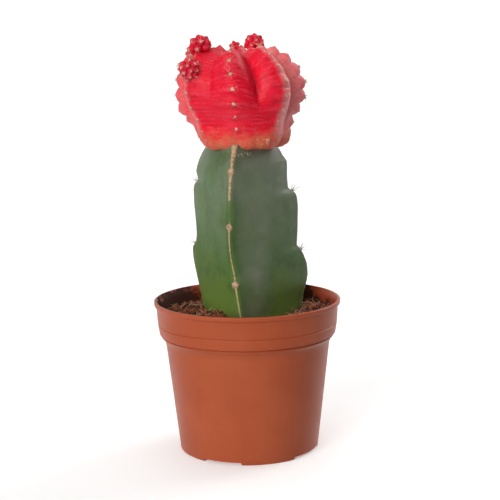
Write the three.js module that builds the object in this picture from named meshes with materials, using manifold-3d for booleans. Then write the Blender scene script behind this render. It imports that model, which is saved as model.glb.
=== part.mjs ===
// Potted moon cactus: a red ribbed scion grafted on a three-winged green rootstock,
// standing in peat in a small plastic nursery pot. Millimetres, +Z up.
// The origin is on the pot's axis, level with the undersides of its feet.
// Azimuth 0 faces the front (-Y) and grows towards the right (+X).
import * as THREE from "three";
import { mergeVertices } from "three/addons/utils/BufferGeometryUtils.js";
import Module from "manifold-3d";

const wasm = await Module();
wasm.setup();

// Clearance kept between neighbouring pieces
const GAP = 0.3;

// Pot: radii and heights of the turned outline
const POT = {
  sides: 44,
  wall: 0.95,
  lipRadius: 30,
  lipTop: 48.8,
  lipHeight: 1.4,
  lipBore: 29.05,
  collarTopRadius: 29.25,
  collarFootRadius: 28.45,
  collarFoot: 38.2,
  grooveHeight: 41.5,
  grooveDepth: 0.25,
  edge: 0.3,
  shoulder: 0.55,
  bodyTopRadius: 26.5,
  bodyTop: 36.3,
  bodyFootRadius: 22.4,
  footHeight: 0.9,
  footWidth: 1.7,
  footRound: 0.5,
  floor: 1.1,
  gaps: [{ at: -23, wide: 32 }, { at: 60, wide: 40 }, { at: 150, wide: 36 }, { at: 240, wide: 36 }],
  drains: { count: 6, ringRadius: 13.5, radius: 2 },
};

// Soil: general level, mounds over it and the size of its crumbs
const SOIL = {
  level: 43.7,
  mounds: [
    { x: -11, y: -12, spread: 7, height: 3.4 },
    { x: 21, y: 6, spread: 6, height: 1.6 },
    { x: -17, y: 9, spread: 7, height: 0.9 },
  ],
  crumb: 0.55,
  ringStep: 2.1,
  core: 6,
  chips: { count: 16, from: 19, to: 25.6, smallest: 0.8, largest: 1.5 },
  fibres: { count: 6, from: 20, to: 24.5, shortest: 2, longest: 3.4, thick: 0.9 },
};

// Rootstock: the margin of each wing as [height, distance from the stem's centre line]
const WINGS = [
  {
    azimuth: [[44, -6], [57, -9], [68, -11.5], [80, -9.5], [92, -7], [99.5, -4]],
    margin: [[24, 16.5], [46, 19.5], [52, 20.8], [56.8, 21.2], [59.4, 20.2], [65, 20.5], [74, 20.2],
      [76.8, 19], [82, 19.3], [91, 18.1], [93.6, 17], [97, 15], [99.5, 13.4]],
    areoles: [57.1, 74.8, 91.6],
  },
  {
    azimuth: [[24, 111]],
    margin: [[24, 16.5], [47.6, 19.1], [54, 21], [58.5, 21.2], [61, 20.5], [62.9, 19.7], [64.2, 18.8],
      [65, 18.1], [67, 18.3], [76.5, 19.6], [80.7, 19.5], [82.1, 18.8], [82.9, 17.7], [83.8, 16.6],
      [86, 16.4], [92.5, 16.5], [93.1, 16], [94.2, 15.1], [96.1, 14], [97.4, 12.9], [99.5, 11]],
    areoles: [63.4, 82.6],
  },
  {
    azimuth: [[24, 231]],
    margin: [[24, 16.5], [46.5, 19.2], [55.3, 20.9], [60, 21.8], [63.9, 21.5], [66.5, 19.3], [73, 18.9],
      [82, 19], [84.7, 18.4], [86.5, 16.2], [89.6, 17], [95, 14.6], [97.5, 12.7], [99.5, 10.9]],
    areoles: [65.1, 85.4],
  },
];
const STEM = {
  foot: 24,
  envelope: [[24, 17], [46, 19.6], [58, 21.8], [72, 20.6], [84, 19.7], [92, 18.1], [99.5, 13.6]],
  soilZone: 42,
  top: 99.5,
  ringStep: 1.75,
  tipRound: 1.2,
  blunting: 0.6,
  wedge: 62,
  tipPoints: 4,
  facePoints: 5,
  leanFrom: 44,
  leanTo: 92,
  leanStart: 0.3,
  leanEnd: -2,
  faces: [[24, 10], [46, 11.2], [58, 12.1], [72, 11.6], [84, 11.1], [92, 10.3], [99.5, 8.3]],
  areole: 1.05,
};

// Scion: outlines from its underside to its apex, as [radius, height]
const SCION = {
  centre: -0.8,
  apexShift: -1.3,
  apexFrom: 116,
  apexTo: 127,
  twist: -5,
  azimuths: [-4, 45, 87, 131, 176, 221, 266, 309],
  reach: [1, 1, 0.975, 1, 1, 1, 0.97, 1],
  tuck: [0.9, 1, 1.05, 1, 0.98, 0.95, 0.87, 0.97],
  tuckTop: 107,
  lobes: [0.4, 0.7, 1, 1, 1, 1, 1, 0.75],
  depths: { low: [0.3, 0.85, 1, 1, 1, 1, 0.9, 0.12], high: [1, 1, 1, 1, 1, 1, 1, 0.45], from: 109, to: 121 },
  swell: [0, 0, 0.3, 0, 0, 0, 1.6, 0],
  swellAt: 110,
  swellSpan: 5,
  crest: [[0, 98.6], [7, 98], [11.3, 97.5], [13.8, 98.7], [14.9, 101.4], [15.2, 104.6], [15.9, 107.2],
    [17.6, 109.8], [19.2, 113], [19.8, 116.8], [19.1, 120.8], [17, 124.5], [13.2, 127.3],
    [8.7, 128.2], [4.4, 127.1], [0, 125.8]],
  valley: [[0, 98.6], [6.6, 98.3], [10.4, 98.2], [12.7, 99.5], [14, 101.8], [14.4, 104.6], [14.9, 107.2],
    [15.4, 109.8], [16, 112.4], [15.7, 115.2], [14.6, 118.2], [12.2, 121.4], [8.8, 124],
    [5.4, 124.7], [2.8, 125.2], [0, 125.8]],
  ribSteps: 4,
  fullness: { deep: 0.75, shallow: 1.7 },
  pitch: 4.4,
  ringsPerPitch: 4,
  plainRings: 5,
  scallopFrom: 0.3,
  scallopTo: 0.885,
  scallop: 1.15,
  fold: 0.1,
  foldFade: 5,
  phases: [0, 0.5, 0.75, 0.25, 0.5, 0, 0.5, 0.25],
  areole: 0.75,
  spinesAbove: 3,
  spinesBelow: 2,
  waist: 113,
};

// Offsets: small heads that have budded on ribs of the scion, at a share of the rib's arc
const OFFSETS = [
  { name: "offset_left_upper", rib: 7, share: 0.79, across: -0.1, radius: 2.9, tubercles: 9 },
  { name: "offset_left_lower", rib: 7, share: 0.65, across: 0.2, radius: 2.6, tubercles: 8 },
  { name: "offset_left_side", rib: 6, share: 0.765, across: 0.4, radius: 1.9, tubercles: 5 },
  { name: "offset_right", rib: 3, share: 0.87, across: 0, radius: 2.6, tubercles: 8 },
  { name: "offset_centre", rib: 4, share: 0.87, across: 0.3, radius: 1.5, tubercles: 4 },
];
const HEAD = { seated: 0.55, neckDepth: 0.8, neckWide: 0.75, neckLong: 0.9, coverage: 1.45, turn: 137.5 };
const TUBERCLE = { share: 0.5, proud: 0.8, spineThick: 0.28 };

// Spines: thickness at the root, how far it is sunk, and lengths on each kind of areole
const SPINE = { root: 0.34, sunk: 0.3, scion: [2.2, 3.6], offset: [1.1, 2], stem: [1.2, 2.2] };

const COLOURS = {
  pot: { color: 0xb05a3c, roughness: 0.5 },
  soil: { color: 0x3a2a22, roughness: 0.98 },
  rootstock: { color: 0x5f7450, roughness: 0.62 },
  scion: { color: 0xd6303f, roughness: 0.6 },
  offset: { color: 0xc9303f, roughness: 0.62 },
};

const UP = new THREE.Vector3(0, 0, 1);
const rad = THREE.MathUtils.degToRad;
const mix = THREE.MathUtils.lerp;
const compass = (azimuth) => [Math.sin(rad(azimuth)), -Math.cos(rad(azimuth))];

// Even random numbers from 0 to 1, the same on every run
function dice(seed) {
  let state = seed;
  return () => {
    state = (state * 1664525 + 1013904223) % 4294967296;
    return state / 4294967296;
  };
}

// Smooth value at x on an outline of [x, value] points
function along(points, x) {
  const last = points.length - 1;
  if (last === 0 || x <= points[0][0]) return points[0][1];
  if (x >= points[last][0]) return points[last][1];
  const i = points.findIndex((point) => point[0] > x) - 1;
  const slope = (j) => {
    const before = points[Math.max(j - 1, 0)];
    const after = points[Math.min(j + 1, last)];
    return (after[1] - before[1]) / (after[0] - before[0]);
  };
  const [x0, y0] = points[i];
  const [x1, y1] = points[i + 1];
  const span = x1 - x0;
  const t = (x - x0) / span;
  const bend = (1 - t) * slope(i) - t * slope(i + 1);
  const chord = (y1 - y0) / span;
  return mix(y0, y1, t) + t * (1 - t) * span * (bend - chord * (1 - 2 * t));
}

// Solid from a closed geometry: only positions, shared corners merged, no flat slivers
function solid(geometry) {
  const bare = new THREE.BufferGeometry();
  bare.setAttribute("position", geometry.getAttribute("position"));
  bare.setIndex(geometry.getIndex());
  const welded = mergeVertices(bare, 1e-4);
  const index = Array.from(welded.getIndex().array);
  const triangles = [];
  for (let i = 0; i < index.length; i += 3) {
    const [a, b, c] = index.slice(i, i + 3);
    if (a !== b && b !== c && c !== a) triangles.push(a, b, c);
  }
  return new wasm.Manifold(new wasm.Mesh({
    numProp: 3,
    vertProperties: new Float32Array(welded.getAttribute("position").array),
    triVerts: new Uint32Array(triangles),
  }));
}

// Solid through rings of points of one count, from the lowest ring to the top one, closed by fans
function loft(rings) {
  const count = rings[0].length;
  const positions = rings.flat().flatMap((point) => point.toArray());
  const index = [];
  for (let r = 0; r < rings.length - 1; r += 1) {
    for (let i = 0; i < count; i += 1) {
      const a = r * count + i;
      const b = r * count + ((i + 1) % count);
      if ((r + i) % 2) index.push(a, b, b + count, a, b + count, a + count);
      else index.push(a, b, a + count, b, b + count, a + count);
    }
  }
  for (const [ring, isTop] of [[0, false], [rings.length - 1, true]]) {
    const middle = rings[ring].reduce((sum, point) => sum.clone().add(point), new THREE.Vector3());
    middle.divideScalar(count);
    const hub = positions.length / 3;
    positions.push(...middle.toArray());
    for (let i = 0; i < count; i += 1) {
      const a = ring * count + i;
      const b = ring * count + ((i + 1) % count);
      if (isTop) index.push(hub, a, b);
      else index.push(hub, b, a);
    }
  }
  const geometry = new THREE.BufferGeometry();
  geometry.setAttribute("position", new THREE.Float32BufferAttribute(positions, 3));
  geometry.setIndex(index);
  return solid(geometry);
}

// Solid turned about Z from a closed outline of [radius, height] points
function turned(outline, sides) {
  const points = outline.map(([radius, height]) => new THREE.Vector2(radius, height));
  return solid(new THREE.LatheGeometry(points, sides).rotateX(Math.PI / 2));
}

// Small closed body moved to its place and drawn out or flattened by its scale
function placed(geometry, centre, scale) {
  return solid(geometry.scale(scale.x, scale.y, scale.z).translate(centre.x, centre.y, centre.z));
}

// Rounded lump, and a plainer one for the wool of an areole
const lump = (centre, scale) => placed(new THREE.IcosahedronGeometry(1), centre, scale);
const pad = (centre, size) => placed(
  new THREE.OctahedronGeometry(1), centre, new THREE.Vector3(size, size, size),
);

// Three-sided spine from a point on the skin, with its root sunk in
function spine(root, direction, length, thickness = SPINE.root) {
  const whole = length + SPINE.sunk;
  const geometry = new THREE.ConeGeometry(thickness / 2, whole, 3);
  geometry.translate(0, whole / 2 - SPINE.sunk, 0);
  const turn = new THREE.Quaternion().setFromUnitVectors(new THREE.Vector3(0, 1, 0), direction);
  return solid(geometry.applyQuaternion(turn).translate(root.x, root.y, root.z));
}

// A star of spines from an areole, leaning away from the skin's outward direction
function star(seat, outward, count, [shortest, longest], draw) {
  const side = new THREE.Vector3().crossVectors(outward, UP);
  if (side.length() < 0.1) side.set(1, 0, 0);
  side.normalize();
  const spines = [];
  const start = draw() * 360;
  for (let i = 0; i < count; i += 1) {
    const around = side.clone().applyAxisAngle(outward, rad(start + (360 * i) / count + 30 * draw()));
    const direction = outward.clone().lerp(around, 0.45 + 0.25 * draw()).normalize();
    spines.push(spine(seat, direction, mix(shortest, longest, draw())));
  }
  return spines;
}

const join = (solids) => wasm.Manifold.union(solids);

// The largest body of a cut solid, without the loose scraps
function largest(body) {
  const bodies = body.decompose();
  return bodies.reduce((best, next) => (next.volume() > best.volume() ? next : best));
}

// Named mesh from a finished solid
function piece(name, body, look) {
  const { vertProperties, triVerts } = body.getMesh();
  const geometry = new THREE.BufferGeometry();
  geometry.setAttribute("position", new THREE.BufferAttribute(vertProperties, 3));
  geometry.setIndex(new THREE.BufferAttribute(triVerts, 1));
  geometry.computeVertexNormals();
  const material = new THREE.MeshStandardMaterial({ ...look, metalness: 0 });
  const mesh = new THREE.Mesh(geometry, material);
  mesh.name = name;
  return mesh;
}

// Sector of a ring about Z, used to cut the gaps between the feet
function ringSector(inner, outer, from, to, bottom, top) {
  const start = rad(from - 90);
  const end = rad(to - 90);
  const shape = new THREE.Shape();
  shape.absarc(0, 0, outer, start, end, false);
  shape.absarc(0, 0, inner, end, start, true);
  const settings = { depth: top - bottom, bevelEnabled: false, curveSegments: 6 };
  return solid(new THREE.ExtrudeGeometry(shape, settings).translate(0, 0, bottom));
}

// Height of the inside of the pot's floor
const potFloor = POT.footHeight + POT.floor;

// Pot: turned wall with its lip, collar, shoulder and floor, then foot gaps and drain holes
function buildPot() {
  const p = POT;
  const lipFoot = p.lipTop - p.lipHeight;
  const inner = p.bodyFootRadius - p.footWidth;
  const groove = p.collarFootRadius + p.edge - p.grooveDepth;
  const shell = turned([
    [0, p.footHeight], [inner, p.footHeight], [inner + 0.25, 0], [p.bodyFootRadius - p.footRound, 0],
    [p.bodyFootRadius, p.footRound], [p.bodyTopRadius, p.bodyTop],
    [p.collarFootRadius - 1.3 * p.shoulder, p.bodyTop + p.shoulder], [p.collarFootRadius, p.collarFoot],
    [groove + p.grooveDepth, p.grooveHeight - p.edge], [groove, p.grooveHeight],
    [groove + p.edge, p.grooveHeight + p.edge], [p.collarTopRadius, lipFoot - p.edge],
    [p.lipRadius - 0.1, lipFoot], [p.lipRadius, p.lipTop - 2 * p.edge], [p.lipRadius - p.edge, p.lipTop],
    [p.lipBore + 0.1, p.lipTop - 0.1], [p.collarTopRadius - p.wall, lipFoot - 0.4],
    [p.collarFootRadius - p.wall, p.collarFoot + 0.5], [p.bodyTopRadius - p.wall, p.bodyTop - 0.5],
    [p.bodyFootRadius - p.wall, potFloor + 0.8], [p.bodyFootRadius - p.wall - 0.7, potFloor],
    [0, potFloor],
  ], p.sides);
  const cuts = p.gaps.map(({ at, wide }) => ringSector(
    inner - 1, p.bodyFootRadius + 1, at - wide / 2, at + wide / 2, -1, p.footHeight,
  ));
  for (let i = 0; i < p.drains.count; i += 1) {
    const [x, y] = compass((360 * i) / p.drains.count);
    const hole = new THREE.CylinderGeometry(p.drains.radius, p.drains.radius, 6, 12).rotateX(Math.PI / 2);
    cuts.push(solid(hole.translate(x * p.drains.ringRadius, y * p.drains.ringRadius, p.footHeight)));
  }
  return shell.subtract(join(cuts));
}

// Stem's centre line, leaning a little to the left as it rises
function stemCentre(height) {
  return mix(STEM.leanStart, STEM.leanEnd, THREE.MathUtils.smoothstep(height, STEM.leanFrom, STEM.leanTo));
}

// Roundness of a wing's edge: its wedge is sharp at the envelope and blunter where a notch cuts it back
function edgeRound(wing, height) {
  const cutBack = Math.max(0, along(STEM.envelope, height) - along(wing.margin, height));
  return STEM.tipRound + STEM.blunting * cutBack;
}

// Point on the margin of a wing
function wingTip(wing, height, inset = 0) {
  const [x, y] = compass(along(wing.azimuth, height));
  const reach = along(wing.margin, height) - inset;
  return new THREE.Vector3(stemCentre(height) + x * reach, y * reach, height);
}

// Section of the rootstock at a height: three rounded wing tips joined by nearly flat faces
function stemRing(height, grow) {
  const middle = new THREE.Vector3(stemCentre(height), 0, height);
  const turns = WINGS.map((wing) => along(wing.azimuth, height));
  const tips = WINGS.map((wing, i) => {
    const round = edgeRound(wing, height);
    const hub = wingTip(wing, height, round);
    return Array.from({ length: STEM.tipPoints + 1 }, (_, j) => {
      const [x, y] = compass(turns[i] + STEM.wedge * mix(-1, 1, j / STEM.tipPoints));
      return hub.clone().add(new THREE.Vector3(x, y, 0).multiplyScalar(round + grow));
    });
  });
  return tips.flatMap((tip, i) => {
    const next = (i + 1) % tips.length;
    const from = tip[STEM.tipPoints];
    const to = tips[next][0];
    const [x, y] = compass((turns[i] + turns[next] + (next ? 0 : 360)) / 2);
    const depth = along(STEM.faces, height) + grow;
    const crown = middle.clone().add(new THREE.Vector3(x * depth, y * depth, 0));
    const control = crown.multiplyScalar(2).sub(from.clone().add(to).multiplyScalar(0.5));
    const face = new THREE.QuadraticBezierCurve3(from, control, to);
    return [...tip, ...face.getPoints(STEM.facePoints).slice(1, -1)];
  });
}

// Bare rootstock, grown outwards to make clearance for its neighbours
function stemBody(grow = 0) {
  const foot = STEM.foot - grow;
  const top = STEM.top + grow;
  const visible = Math.round((top - STEM.soilZone) / STEM.ringStep);
  const heights = [foot, mix(foot, STEM.soilZone, 0.5)];
  for (let i = 0; i <= visible; i += 1) heights.push(mix(STEM.soilZone, top, i / visible));
  return loft(heights.map((height) => {
    const known = THREE.MathUtils.clamp(height, STEM.foot, STEM.top);
    return stemRing(known, grow).map((point) => point.setZ(height));
  }));
}

// Rootstock: ribbed stem with areoles and short spines on its wing margins
function buildRootstock() {
  const draw = dice(11);
  const parts = [stemBody()];
  WINGS.forEach((wing) => {
    wing.areoles.forEach((height) => {
      const [x, y] = compass(along(wing.azimuth, height));
      const outward = new THREE.Vector3(x, y, 0.5).normalize();
      const seat = wingTip(wing, height, 0.2);
      const size = STEM.areole;
      parts.push(lump(seat, new THREE.Vector3(size, size, size * 0.95)));
      parts.push(...star(seat, outward, 3, SPINE.stem, draw));
    });
  });
  return join(parts);
}

// Height of the soil at a place: level, mounds and crumbs
function soilHeight(x, y) {
  let height = SOIL.level;
  for (const mound of SOIL.mounds) {
    const away = Math.hypot(x - mound.x, y - mound.y) / mound.spread;
    height += mound.height * Math.exp(-away * away);
  }
  const grain = Math.sin(1.9 * x + 1.3 * Math.sin(1.1 * y)) * Math.sin(2.1 * y + 1.7 * Math.sin(0.9 * x));
  const clod = Math.sin(0.83 * x - 0.4 * y + 1) * Math.sin(0.71 * y + 0.3 * x + 2);
  return height + SOIL.crumb * (0.8 * grain + 0.7 * clod);
}

// Soil: a filling clear of the pot's wall, rough on top, with crumbs, fibres and a hole for the stem
function buildSoil() {
  const p = POT;
  const clear = p.wall + GAP;
  const bed = potFloor + GAP;
  const wall = [
    [p.bodyFootRadius - clear - 0.9, bed], [p.bodyFootRadius - clear, bed + 0.9],
    [p.bodyTopRadius - clear - 0.1, p.bodyTop - 0.3],
    [p.collarFootRadius - clear - 0.1, p.collarFoot + 0.9],
  ];
  const edge = mix(p.collarFootRadius, p.collarTopRadius, 0.5) - clear - 0.1;
  const circle = (radius, heightAt) => Array.from({ length: p.sides }, (_, i) => {
    const [x, y] = compass((360 * i) / p.sides);
    return new THREE.Vector3(x * radius, y * radius, heightAt(x * radius, y * radius));
  });
  const rings = wall.map(([radius, height]) => circle(radius, () => height));
  for (let radius = edge; radius > SOIL.core; radius -= SOIL.ringStep) {
    rings.push(circle(radius, soilHeight));
  }
  const draw = dice(5);
  const parts = [loft(rings)];
  const onSoil = (azimuth, away) => {
    const [x, y] = compass(azimuth);
    return new THREE.Vector3(x * away, y * away, soilHeight(x * away, y * away));
  };
  for (let i = 0; i < SOIL.chips.count; i += 1) {
    const seat = onSoil(360 * draw(), mix(SOIL.chips.from, SOIL.chips.to, Math.sqrt(draw())));
    const size = mix(SOIL.chips.smallest, SOIL.chips.largest, draw());
    parts.push(lump(seat, new THREE.Vector3(size, size * mix(0.6, 1, draw()), size * 0.7)));
  }
  for (let i = 0; i < SOIL.fibres.count; i += 1) {
    const { count, from, to, shortest, longest, thick } = SOIL.fibres;
    const root = onSoil(mix(70, 290, (i + draw()) / count), mix(from, to, draw()));
    const lean = new THREE.Vector3(draw() - 0.5, draw() - 0.5, 0.9).normalize();
    parts.push(spine(root, lean, mix(shortest, longest, draw()), thick));
  }
  return largest(join(parts).subtract(stemClearance));
}

// Part of the scion's arc where ribs are notched into tubercles, fading in at its lower end
const scallopSpan = SCION.scallopTo - SCION.scallopFrom;
const crestCurve = new THREE.SplineCurve(SCION.crest.map(([r, z]) => new THREE.Vector2(r, z)));
const valleyCurve = new THREE.SplineCurve(SCION.valley.map(([r, z]) => new THREE.Vector2(r, z)));
const tubercleCount = Math.round((crestCurve.getLength() * scallopSpan) / SCION.pitch);

// How far a tubercle stands at a share of the arc, from 0 in a notch to 1 on its top
function tubercle(rib, share) {
  const step = ((share - SCION.scallopFrom) / scallopSpan) * tubercleCount + SCION.phases[rib];
  const inside = THREE.MathUtils.smoothstep(share, SCION.scallopFrom - 0.01, SCION.scallopFrom + 0.04)
    * (1 - THREE.MathUtils.smoothstep(share, SCION.scallopTo, SCION.scallopTo + 0.05));
  return inside * Math.abs(Math.sin(Math.PI * step)) ** 0.7;
}

// How deep the valley after a rib is at a height, from 0 for level with the crests to 1 for full depth
function valleyDepth(rib, height) {
  const { low, high, from, to } = SCION.depths;
  return mix(low[rib], high[rib], THREE.MathUtils.smoothstep(height, from, to));
}

// Point on the scion: share runs from the underside to the apex, across from valley to valley
// as -1 to 1 with the rib's crest at 0
function scionPoint(rib, share, across, grow = 0) {
  const all = SCION.azimuths;
  const count = all.length;
  const wrap = (azimuth) => THREE.MathUtils.euclideanModulo(azimuth + 180, 360) - 180;
  const beside = (rib + Math.sign(across) + count) % count;
  const toValley = wrap(all[beside] - all[rib]) / 2;
  const azimuth = all[rib] + toValley * Math.abs(across) + SCION.twist * share;
  const crest = crestCurve.getPointAt(share);
  const depth = valleyDepth(across < 0 ? beside : rib, crest.y);
  const bend = mix(SCION.fullness.shallow, SCION.fullness.deep, depth);
  const full = Math.cos((Math.PI / 2) * Math.min(Math.abs(across), 1)) ** bend;
  const slope = crestCurve.getTangentAt(share);
  const lobe = mix(SCION.fold, SCION.scallop * SCION.lobes[rib], full ** SCION.foldFade);
  const swell = SCION.swell[rib] * Math.exp(-(((crest.y - SCION.swellAt) / SCION.swellSpan) ** 2));
  const lift = tubercle(rib, share) * full * lobe + swell * full;
  const isHigh = THREE.MathUtils.smoothstep(crest.y, STEM.top, SCION.tuckTop);
  const reach = (i) => mix(SCION.tuck[i], SCION.reach[i], isHigh);
  const level = crest.clone().setX((crest.x * (reach(rib) + reach(beside))) / 2);
  const valley = level.lerp(valleyCurve.getPointAt(share), depth);
  const radius = mix(valley.x, crest.x * mix(1, reach(rib), full), full) + (lift + grow) * slope.y;
  const height = mix(valley.y, crest.y, full) - (lift + grow) * slope.x;
  const [x, y] = compass(azimuth);
  const isApex = THREE.MathUtils.smoothstep(height, SCION.apexFrom, SCION.apexTo);
  const centre = SCION.centre + SCION.apexShift * isApex;
  return new THREE.Vector3(centre + x * radius, y * radius, height);
}

// Shares of the arc where rings lie: few on the plain underside, several to each tubercle
function scionShares() {
  const shares = [];
  for (let i = 1; i <= SCION.plainRings; i += 1) {
    shares.push((SCION.scallopFrom * i) / (SCION.plainRings + 1));
  }
  const rings = tubercleCount * SCION.ringsPerPitch;
  for (let i = 0; i <= rings; i += 1) shares.push(mix(SCION.scallopFrom, SCION.scallopTo, i / rings));
  return [...shares, mix(SCION.scallopTo, 1, 0.45)];
}

// Bare scion, grown outwards to make clearance for the offsets
function scionBody(grow = 0) {
  const steps = SCION.ribSteps;
  return loft(scionShares().map((share) => SCION.azimuths.flatMap((_, rib) => (
    Array.from({ length: 2 * steps }, (__, i) => scionPoint(rib, share, i / steps - 1, grow))
  ))));
}

// Place on a rib, with the skin's outward direction
function ribPlace(rib, share, across = 0) {
  const sideways = scionPoint(rib, share, across + 0.2).sub(scionPoint(rib, share, across - 0.2));
  const upward = scionPoint(rib, share + 0.03, across).sub(scionPoint(rib, share - 0.03, across));
  return { seat: scionPoint(rib, share, across), outward: sideways.cross(upward).normalize() };
}

// Places of the areoles, one on each tubercle's top
function scionAreoles() {
  const found = [];
  SCION.azimuths.forEach((_, rib) => {
    for (let i = 0; i < tubercleCount; i += 1) {
      const step = i + 0.5 - SCION.phases[rib] + (SCION.phases[rib] > 0.5 ? 1 : 0);
      const share = SCION.scallopFrom + (scallopSpan * step) / tubercleCount;
      if (share > SCION.scallopFrom && share < SCION.scallopTo) found.push(ribPlace(rib, share));
    }
  });
  return found;
}

// Centre of an offset, standing on its rib, with its outward direction
function offsetPlace({ rib, share, across, radius }) {
  const { seat, outward } = ribPlace(rib, share, across);
  return { centre: seat.addScaledVector(outward, radius * HEAD.seated), outward };
}

// Scion: eight notched ribs with a woolly areole and spines on each tubercle, cut to sit on the stem
function buildScion() {
  const draw = dice(23);
  const parts = [scionBody()];
  for (const { seat, outward } of scionAreoles()) {
    const crowded = OFFSETS.some((offset) => (
      seat.distanceTo(offsetPlace(offset).centre) < 1.3 * offset.radius + SPINE.scion[0]
    ));
    if (!crowded) {
      parts.push(pad(seat, SCION.areole));
      const count = seat.z > SCION.waist ? SCION.spinesAbove : SCION.spinesBelow;
      parts.push(...star(seat, outward, count, SPINE.scion, draw));
    }
  }
  return largest(join(parts).subtract(stemClearance));
}

// Offset: a small head of packed tubercles, each with a spine, on a short neck cut to the scion's skin
function buildOffset(offset, number) {
  const draw = dice(40 + number);
  const { radius, tubercles } = offset;
  const { centre, outward } = offsetPlace(offset);
  const parts = [lump(centre, new THREE.Vector3(radius, radius, radius))];
  const neck = centre.clone().addScaledVector(outward, -radius * HEAD.neckDepth);
  const neckScale = new THREE.Vector3(HEAD.neckWide, HEAD.neckWide, HEAD.neckLong);
  parts.push(lump(neck, neckScale.multiplyScalar(radius)));
  const turn = new THREE.Quaternion().setFromUnitVectors(UP, outward);
  for (let i = 0; i < tubercles; i += 1) {
    const rise = 1 - (HEAD.coverage * (i + 0.5)) / tubercles;
    const around = i * HEAD.turn;
    const flat = Math.sqrt(1 - rise * rise);
    const direction = new THREE.Vector3(flat * Math.cos(rad(around)), flat * Math.sin(rad(around)), rise);
    direction.applyQuaternion(turn);
    const top = centre.clone().addScaledVector(direction, radius * TUBERCLE.proud);
    const size = radius * TUBERCLE.share * mix(0.9, 1.1, draw());
    parts.push(lump(top, new THREE.Vector3(size, size, size)));
    if (i % 2 === 1) {
      const skin = top.clone().addScaledVector(direction, size * 0.8);
      parts.push(spine(skin, direction, mix(...SPINE.offset, draw()), TUBERCLE.spineThick));
    }
  }
  return largest(join(parts).subtract(scionClearance));
}

const stemClearance = stemBody(GAP);
const scionClearance = scionBody(GAP);
const cactus = new THREE.Group();
cactus.add(piece("pot", buildPot(), COLOURS.pot));
cactus.add(piece("soil", buildSoil(), COLOURS.soil));
cactus.add(piece("rootstock", buildRootstock(), COLOURS.rootstock));
cactus.add(piece("scion", buildScion(), COLOURS.scion));
OFFSETS.forEach((offset, i) => cactus.add(piece(offset.name, buildOffset(offset, i), COLOURS.offset)));

export default cactus;
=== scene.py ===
"""Potted moon cactus, dressed for close views.

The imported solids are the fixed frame, and a finer piece on the same sizes stands for each of them,
with its skin, wool, spines, crumbs and fibres. Sizes are in millimetres and azimuths in degrees from
the front (-Y) towards the right (+X). A finished mesh is in metres, in the frame of the solids.
"""
from __future__ import annotations

import logging
import math
import random
from bisect import bisect
from dataclasses import dataclass
from enum import Enum
from functools import cached_property, lru_cache
from typing import Callable, ClassVar, Mapping, Sequence, Union

import bmesh
import bpy
from mathutils import Matrix, Vector, noise


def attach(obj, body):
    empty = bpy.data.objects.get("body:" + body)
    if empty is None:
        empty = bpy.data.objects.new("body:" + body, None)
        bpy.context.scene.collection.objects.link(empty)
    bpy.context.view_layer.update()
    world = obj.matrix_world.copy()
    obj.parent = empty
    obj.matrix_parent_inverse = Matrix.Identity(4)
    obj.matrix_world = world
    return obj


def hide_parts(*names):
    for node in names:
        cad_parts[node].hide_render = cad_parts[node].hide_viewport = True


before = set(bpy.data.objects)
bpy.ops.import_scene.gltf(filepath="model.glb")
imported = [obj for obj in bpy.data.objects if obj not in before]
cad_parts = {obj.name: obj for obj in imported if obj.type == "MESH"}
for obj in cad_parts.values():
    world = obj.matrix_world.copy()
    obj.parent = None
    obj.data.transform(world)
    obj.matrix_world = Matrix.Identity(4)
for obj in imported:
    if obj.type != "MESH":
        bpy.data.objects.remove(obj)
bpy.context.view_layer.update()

LOG = logging.getLogger("cactus")
MM = 0.001  # a millimetre, in metres
WELD = 1e-4  # points closer than this, in millimetres, become one
UP = Vector((0.0, 0.0, 1.0))
WHITE = (1.0, 1.0, 1.0, 1.0)
Colour = tuple[float, float, float, float]
Span = tuple[float, float]
Pairs = tuple[Span, ...]
Spot = tuple[Vector, Mapping[str, float]]


def mix(first: float, second: float, share: float) -> float:
    """Value at a share of the way from the first to the second."""
    return first + (second - first) * share


def ease(value: float, low: float, high: float) -> float:
    """0 below low, 1 above high and a smooth rise between them."""
    share = min(max((value - low) / (high - low), 0.0), 1.0)
    return share * share * (3.0 - 2.0 * share)


def wrap(azimuth: float) -> float:
    """The same azimuth between -180 and 180."""
    return (azimuth + 180.0) % 360.0 - 180.0


def compass(azimuth: float) -> Vector:
    """Level direction at an azimuth."""
    return Vector((math.sin(math.radians(azimuth)), -math.cos(math.radians(azimuth)), 0.0))


def paint(red: int, green: int, blue: int) -> Colour:
    """Linear colour of a shade that is named by its 0 to 255 values on a screen.

    Args:
        red: its red value.
        green: its green value.
        blue: its blue value.

    Returns:
        The colour, opaque.
    """
    def linear(value: int) -> float:
        """Linear value of one channel."""
        share = value / 255.0
        return share / 12.92 if share <= 0.04045 else ((share + 0.055) / 1.055) ** 2.4
    return linear(red), linear(green), linear(blue), 1.0


class Slot(Enum):
    """Material slots of the record."""

    POT = "pot_plastic"
    PEAT = "peat"
    GREEN = "green_skin"
    RED = "red_skin"


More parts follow.
